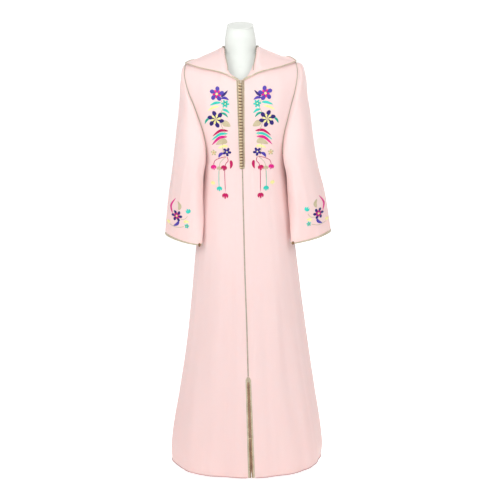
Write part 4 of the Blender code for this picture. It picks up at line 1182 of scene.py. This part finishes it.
def heights_between(top, bottom, step=0.003):
    count = max(2, round((top - bottom) / step))
    return [mix(top, bottom, k / count) for k in range(count + 1)]


def placket_edge(side, height):
    """Where a placket braid's outer edge stands, above its rounded end."""
    down = (PLACKET_TOP - height) / (PLACKET_TOP - PLACKET_BOTTOM - PLACKET_POINT)
    return mix(*PLACKET_SIDES[side], min(down, 1.0))


def placket_braid(side):
    near, far = [], []
    for height in heights_between(PLACKET_TOP, PLACKET_BOTTOM):
        outer_x = placket_edge(side, height)
        below = (PLACKET_BOTTOM + PLACKET_POINT - height) / PLACKET_POINT
        if below > 0:
            outer_x *= mix(PLACKET_BLUNT, 1.0, math.sqrt(max(0.0, 1 - below ** 2)))
        near.append(front_at(SIDES[side] * (SEAM + REST), height))
        far.append(front_at(outer_x, height))
    trim("placket_braid_" + side, "braid",
         braid_strip(near, far, PLACKET_THICKNESS, ribbed(3, PITCHES["placket"], 0.5), 24))


def placket_lines():
    """Fine dark strands in the grooves of the placket braids: painted shade of the grooves."""
    parts = []
    for side, shares in PLACKET_GROOVE_SHADE.items():
        for share in shares:
            path = []
            for height in heights_between(PLACKET_TOP - 0.001, PLACKET_BOTTOM + PLACKET_POINT):
                inner = SIDES[side] * (SEAM + REST)
                at, out = front_at(mix(inner, placket_edge(side, height), share), height)
                path.append(at + out * (REST / 2 + LINE_LIFT * PLACKET_THICKNESS))
            parts.append(cord_tube(path, LINE_RADIUS, PITCHES["thread"]))
    piece("placket_lines", parts, "loop")


def slit_edge(side, height):
    """Where a slit braid's inner edge stands."""
    return front_centre(height) + SIDES[side] * (slit_gap(height) + SEAM / 2 + REST)


def slit_lacing():
    """Two russet cords along the inner side of each braid of the slit, one to and fro."""
    parts = []
    for side, sign in SIDES.items():
        for reach, sway, closing in LACING:
            path = []
            for height in heights_between(SLIT_TOP - 0.012, HEM_HEIGHT + 0.002, 0.0015):
                swing = reach + sway * math.sin(2 * math.pi * height / LACING_PITCH)
                at, out = front_at(slit_edge(side, height) + sign * swing, height)
                point = at + out * (REST / 2 + LACING_LIFT * SLIT_BRAID_THICKNESS)
                point.x -= sign * closing * slit_gap(height)
                path.append(point)
            parts.append(cord_tube(path, THREAD_RADIUS, PITCHES["lacing"]))
    piece("slit_lacing", parts, "lacing")


def slit_tack():
    """The small bar of stitches that holds the slit's two braids together."""
    x = front_centre(TACK_HEIGHT)
    at, out = front_at(x - 0.002, TACK_HEIGHT)
    centre = Vector((x, at.y, TACK_HEIGHT)) + out * (REST + SLIT_BRAID_THICKNESS + TACK_LIFT)
    piece("slit_tack", [bead(centre, out, TACK_SIZE, 4)], "knot")


def cuff_tack():
    """The knot that fastens the ends of each cuff's braid, at the sleeve's inner corner."""
    parts = []
    for side in SIDES:
        grid = sleeve_rings(side)
        half = grid.shape[1] // 2
        at = min(half - 1, half + 1, key=lambda j: grid[-2, j, 1])
        out = (Vector(tube_normals(grid)[-2, at]) + Vector((0.0, -0.6, 0.0))).normalized()
        centre = Vector(grid[-2, at]) + out * (REST + CUFF_BRAID_THICKNESS + TACK_LIFT)
        parts.append(bead(centre, out, CUFF_TACK_SIZE, 4))
    piece("cuff_tack", parts, "loop")


def hem_edge():
    """The narrow rolled edge along each panel's hem, in a darker rose that paints the shade under
    the edge.
    """
    parts = []
    for name in PANELS:
        line = panel_grid(name)[0] + panel_normals(name)[0] * 0.0007
        line[:, 2] += 0.0008
        parts.append(cord_tube(line[1:-1], HEM_ROLL_RADIUS, PITCHES["hem"],
                               step=2 * CORD_STEP))
    piece("hem_edge", parts, "hem")


def front_cord():
    heights = heights_between(PLACKET_BOTTOM - 0.002, SLIT_TOP + SLIT_BRAID_POINT + 0.002)
    near, far = [[front_at(front_centre(height) + across, height) for height in heights]
                 for across in (-FRONT_CORD_WIDTH / 2, FRONT_CORD_WIDTH / 2)]
    trim("front_cord", "cord",
         braid_strip(near, far, FRONT_CORD_THICKNESS, plait(PITCHES["front_cord"])))


def slit_braid(side):
    top, bottom = SLIT_TOP + SLIT_BRAID_POINT, HEM_HEIGHT + 0.001
    near, far = [], []
    for height in heights_between(top, bottom, 0.002):
        inner = slit_edge(side, height)
        width = mix(*SLIT_BRAID_WIDTHS, (top - height) / (top - bottom))
        arch = math.sqrt(min(1.0, (top - height) / SLIT_BRAID_ROUND))
        near.append(front_at(inner, height))
        width *= mix(SLIT_BRAID_BLUNT, 1.0, arch)
        far.append(front_at(inner + SIDES[side] * width, height))
    trim("slit_braid_" + side, "braid",
         braid_strip(near, far, SLIT_BRAID_THICKNESS, plait(PITCHES["slit_braid"], 0.55), 16))


def knot_height(index):
    return BUTTON_TOP - index * BUTTON_PITCH


def button(index):
    """A knotted button of wound cord."""
    point, normal = front_at(BUTTON_X, knot_height(index))
    centre = point + normal * (REST + PLACKET_THICKNESS + BUTTON_SIZE.y * 0.8)
    name = "button_%02d" % (index + 1)
    piece(name + "_knot", [bead(centre, normal, BUTTON_SIZE, 3)], "knot", [name])


def button_loops():
    """The loops that hold the knots, each from the wearer's left round its knot and back."""
    wide, high = LOOP_SIZE
    steps, tail = 18, 3
    parts = []
    for index in range(BUTTON_COUNT):
        path = []
        for k in range(-tail, steps + tail + 1):
            turn = math.pi * (min(max(k, 0), steps) / steps - 0.5)
            reach = 0.0012 + 0.0022 * max(0, -k, k - steps)
            at, out = front_at(BUTTON_X - wide * math.cos(turn) + reach,
                               knot_height(index) + high * math.sin(turn))
            path.append(at + out * (REST + PLACKET_THICKNESS + 0.0007))
        parts.append(cord_tube(path, THREAD_RADIUS, PITCHES["thread"]))
    piece("button_loops", parts, "loop")


# ---------------------------------------------------------------- embroidery
# A blossom's petals, outer and inner: their start and end as shares of its radius, their width,
# their turn as a share of the petals' spacing, and their height over the cloth. Then a bud's
# petals: their turn in degrees and their length.
PETALS = ((0.16, 1.0, 0.40, 0.0, 0.0002), (0.14, 0.58, 0.20, 0.5, 0.0008))
BUD_PETALS = ((-24, 0.86), (24, 0.86), (0, 1.0))
EYE_SIZE, EYE_LIFT = 0.17, 0.0011
LINE_MESH, SHAPE_MESH = (0.0011, 4), (0.00045, 8)     # a satin shape's step and faces across
# The width of a satin shape along its path, as a share of its full width.
PROFILES = {
    "line": lambda p: min(1.0, 12 * p, 12 * (1 - p)),
    "leaf": lambda p: math.sin(math.pi * p ** 0.85) ** 0.9,
    "petal": lambda p: math.sin(math.pi * p ** 1.5) ** 0.75 * 0.92 + 0.08 * (1 - p),
    "bud": lambda p: math.sin(math.pi * p ** 0.7) ** 0.8,
}


def satin_part(satin, place_at):
    """One satin-stitched shape: a strip domed over its path, ribbed by its stitches."""
    path = [Vector(point) for point in satin.path]
    length = sum((b - a).length for a, b in zip(path, path[1:]))
    step, columns = LINE_MESH if satin.profile == "line" else SHAPE_MESH
    steps = max(8, round(length / step))
    sections = []
    for k in range(steps + 1):
        part = k / steps
        middle = spline(path, part)
        ahead = spline(path, min(1.0, part + 0.01)) - spline(path, max(0.0, part - 0.01))
        across = Vector((-ahead.y, ahead.x)).normalized()
        wide = PROFILES[satin.profile](min(max(part, 0.004), 0.996))
        half = max(satin.half_width * wide, 0.00012)
        rib = 1 - 0.30 * abs(math.sin(math.pi * part * length / STITCH_PITCH))
        tall = STITCH_HEIGHT * min(1.0, half / 0.0016 + 0.25)
        top, bottom = [], []
        for c in range(columns + 1):
            t = 2 * c / columns - 1
            at, out = place_at(*(middle + across * (half * t)))
            top.append(list(at + out * (0.0001 + satin.lift + tall * (1 - t * t) ** 0.6 * rib)))
            bottom.append(list(at - out * 0.0002))
        sections.append((top, bottom))
    return strip_data(sections)


def blossom_satins(blossom):
    """Petals in two sizes round a blossom's eye."""
    x, z, radius, petals, start_turn, outer, inner, eye = blossom
    out = []
    for k in range(petals):
        for colour, (start, end, wide, swing, lift) in zip((outer, inner), PETALS):
            turn = math.radians(start_turn) + 2 * math.pi * (k + swing) / petals
            path = [(x + radius * reach * math.cos(angle), z + radius * reach * math.sin(angle))
                    for reach, angle in ((start, turn), ((start + end) / 2, turn + 0.16),
                                         (end, turn))]
            half = radius * wide * math.sin(math.pi / petals) * 1.25
            out.append(Satin(colour, "petal", half, path, lift))
    size = radius * EYE_SIZE
    out.append(Satin(eye, "bud", size, [(x, z - size), (x, z + size)], EYE_LIFT))
    return out


def bud_satins(colour, x, z, size, lean):
    """A hanging bud of three petals. Place and size are in millimetres."""
    x, z, size = x / 1000, z / 1000, size / 1000
    out = []
    for swing, share in BUD_PETALS:
        turn, side = math.radians(-90 + lean + swing), math.radians(-90 + lean + swing * 1.9)
        path = [(x, z), (x + size * 0.5 * math.cos(side), z + size * 0.5 * math.sin(side)),
                (x + size * share * math.cos(turn), z + size * share * math.sin(turn))]
        out.append(Satin(colour, "bud", size * 0.21, path, 0.0003))
    return out


def cuff_at(side, x, z):
    """The place on a sleeve of a point of the cuff's spray."""
    x = CUFF_SPRAY[side] + CUFF_SCALE * (x - CUFF_FROM[0])
    return seen_at(SIDES[side] * x + CUFF_MOVE, CUFF_TO_HEIGHT + CUFF_SCALE * (z - CUFF_FROM[1]),
                   "sleeve_" + side)


def embroidery():
    """All the embroidery, one piece for each colour of silk."""
    parts = {colour: [] for colour in SILKS}
    for side, sign in SIDES.items():
        for satins, blossoms, buds, place_at in (
                (CHEST_SATIN, CHEST_BLOSSOMS, CHEST_BUDS, lambda x, z: front_at(sign * x, z)),
                (CUFF_SATIN, CUFF_BLOSSOMS, CUFF_BUDS, lambda x, z: cuff_at(side, x, z))):
            every = list(satins)
            for blossom in blossoms:
                every += blossom_satins(blossom)
            for bud in buds:
                every += bud_satins(*bud)
            for satin in every:
                parts[satin.colour].append(satin_part(satin, place_at))
    for colour in SILKS:
        piece("embroidery_" + colour, parts[colour], colour)


# ---------------------------------------------------------------- dress form
def form_ring(row):
    """A ring of the form: the slice of the shoulders, or of the neck where that stands out."""
    ring = []
    neck = row_at(NECK, row.height)
    for turn in turns_of(FORM_SIDES):
        front = math.sin(turn) < 0
        depth = row.front if front else row.back
        x = (row.half_width - FORM_INSET) * power(math.cos(turn), 2 / row.squareness)
        y = (depth - FORM_INSET) * power(math.sin(turn), 2 / row.squareness)
        if row.height > NECK[0].height:
            reach = math.hypot(x / neck.half_width, y / (neck.front if front else neck.back))
            grow = (1 + max(reach, 0.2) ** -12) ** (1 / 12)
            x, y = x * grow, y * grow
        ring.append((x, y, row.height))
    return ring


def cap_ring(scale, lift, inset=0.0):
    """A ring of the tilted cap on the form's neck."""
    tilt = Matrix.Rotation(CAP_TILT, 3, "X")
    centre = CAP_CENTRE + tilt @ Vector((0.0, 0.0, lift))
    across, along = [radius * scale - inset for radius in CAP_RADII]
    return [list(centre + tilt @ Vector((across * math.cos(turn), along * math.sin(turn), 0.0)))
            for turn in turns_of(FORM_SIDES)]


def form_torso():
    rings = []
    for low, high in zip(TORSO, TORSO[1:]):
        steps = max(1, round((high.height - low.height) / 0.005))
        for k in range(steps):
            rings.append(form_ring(Slice(*(mix(a, b, k / steps) for a, b in zip(low, high)))))
    rings.append(form_ring(TORSO[-1]))
    last, top = np.array(rings[-1]), np.array(cap_ring(1.0, -REST, FORM_INSET))
    rings += [mix(last, top, k / 12) for k in range(1, 13)]
    rings = [[(x, y, z - (shoulder_sag(x) + 0.001) * ease((z - 1.34) / 0.04)
               * ease((abs(x) - 0.050) / 0.010)) for x, y, z in ring] for ring in rings]
    piece("torso_cover", [tube_data(rings)], "form", ["form_torso"])


def form_cap():
    profile = [(0.985, 0.0), (1.0, 0.0006), (1.0, 0.6 * CAP_THICKNESS),
               (0.985, 0.9 * CAP_THICKNESS), (0.95, CAP_THICKNESS), (0.5, CAP_THICKNESS),
               (0.06, CAP_THICKNESS)]
    part = tube_data([cap_ring(scale, lift) for scale, lift in profile])
    piece("neck_cap", [part], "cap", ["form_cap"], 40)


# ---------------------------------------------------------------- stage, lights and camera
def stage_floor():
    sides, radius, drop = 64, 9.0, 0.0005
    mesh = bpy.data.meshes.new("floor")
    mesh.from_pydata([(radius * math.cos(turn), radius * math.sin(turn), -drop)
                      for turn in turns_of(sides)],
                     [], [list(range(sides))])
    mesh.materials.append(surface("floor", "pale_floor", (182, 182, 182), (176, 176, 176)))
    floor = new_object("floor", mesh)


# Each area light: name, place, the height that it points at, its sides and its power in watts.
LIGHTS = (
    ("key_left", (1.30, -1.3, 2.1), 1.2, (1.3, 1.3), 17.5),
    ("key_right", (-1.45, -1.3, 2.1), 1.2, (1.3, 1.3), 22),
    ("front", (0.0, -3.6, 2.2), 1.2, (1.6, 1.6), 44),
    ("top", (0.0, -0.2, 3.2), 0.8, (2.0, 2.0), 12),
    ("rear", (0.8, 3.0, 2.2), 0.9, (2.4, 2.0), 34),
)
AMBIENT = ((1.0, 0.985, 0.98, 1.0), 0.39)     # the studio's colour and strength as a light
BACKDROP = ((1.0, 1.0, 1.0, 1.0), 1.1)        # and as the camera sees it
CAMERA_PLACE = Vector((0.0205, -3.40, 1.45))
CAMERA_LENS = 72
CAMERA_TILT, CAMERA_ROLL = math.radians(11.5), math.radians(0.95)


def stage_lights():
    world = bpy.data.worlds.new("studio")
    bpy.context.scene.world = world
    world.use_nodes = True
    tree = world.node_tree
    choice = tree.nodes.new("ShaderNodeMixShader")
    path = tree.nodes.new("ShaderNodeLightPath")
    tree.links.new(path.outputs["Is Camera Ray"], choice.inputs["Fac"])
    seen = tree.nodes.new("ShaderNodeBackground")
    for k, node, (colour, strength) in ((1, tree.nodes["Background"], AMBIENT),
                                        (2, seen, BACKDROP)):
        node.inputs["Color"].default_value = colour
        node.inputs["Strength"].default_value = strength
        tree.links.new(node.outputs["Background"], choice.inputs[k])
    tree.links.new(choice.outputs["Shader"], tree.nodes["World Output"].inputs["Surface"])
    for name, place, height, size, watts in LIGHTS:
        data = bpy.data.lights.new(name, "AREA")
        data.shape = "RECTANGLE"
        data.size, data.size_y = size
        data.energy = watts
        light = new_object(name, data)
        light.location = place
        way = Vector((0.0, 0.0, height)) - Vector(place)
        light.rotation_euler = way.to_track_quat("-Z", "Y").to_euler()


def photo_camera():
    right = Vector((1.0, 0.0, 0.0))
    forward = Vector((0.0, math.cos(CAMERA_TILT), -math.sin(CAMERA_TILT)))
    up = Vector((0.0, math.sin(CAMERA_TILT), math.cos(CAMERA_TILT)))
    turned_right = math.cos(CAMERA_ROLL) * right - math.sin(CAMERA_ROLL) * up
    turned_up = math.sin(CAMERA_ROLL) * right + math.cos(CAMERA_ROLL) * up
    matrix = Matrix((turned_right, turned_up, -forward)).transposed().to_4x4()
    matrix.translation = CAMERA_PLACE
    data = bpy.data.cameras.new("camera")
    data.lens = CAMERA_LENS
    data.sensor_width = 36
    data.sensor_fit = "HORIZONTAL"
    camera = new_object("camera", data)
    camera.matrix_world = matrix
    bpy.context.scene.camera = camera


# ---------------------------------------------------------------- build
def dress_stand():
    for name in ("form_pole", "form_base"):
        for slot in bpy.data.objects[name].material_slots:
            slot.material = LOOKS["stand"]


def declare_cuts():
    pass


def main():
    photo_camera()
    stage_floor()
    stage_lights()
    bpy.context.scene.view_settings.view_transform = "Standard"
    dress_stand()
    panel("back")
    for make in (neck_cord, front_cord, placket_lines, slit_lacing, slit_tack, cuff_tack,
                 hem_edge):
        make()
    for side in SIDES:
        panel("front_" + side)
        sleeve(side)
        cloth("hood_" + side, *hood_grid(side), False)
        for make in (hood_braid, armhole_cord, cuff_braid, placket_braid, slit_braid):
            make(side)
    for index in range(BUTTON_COUNT):
        button(index)
    for make in (button_loops, embroidery, form_torso, form_cap, declare_cuts):
        make()


main()
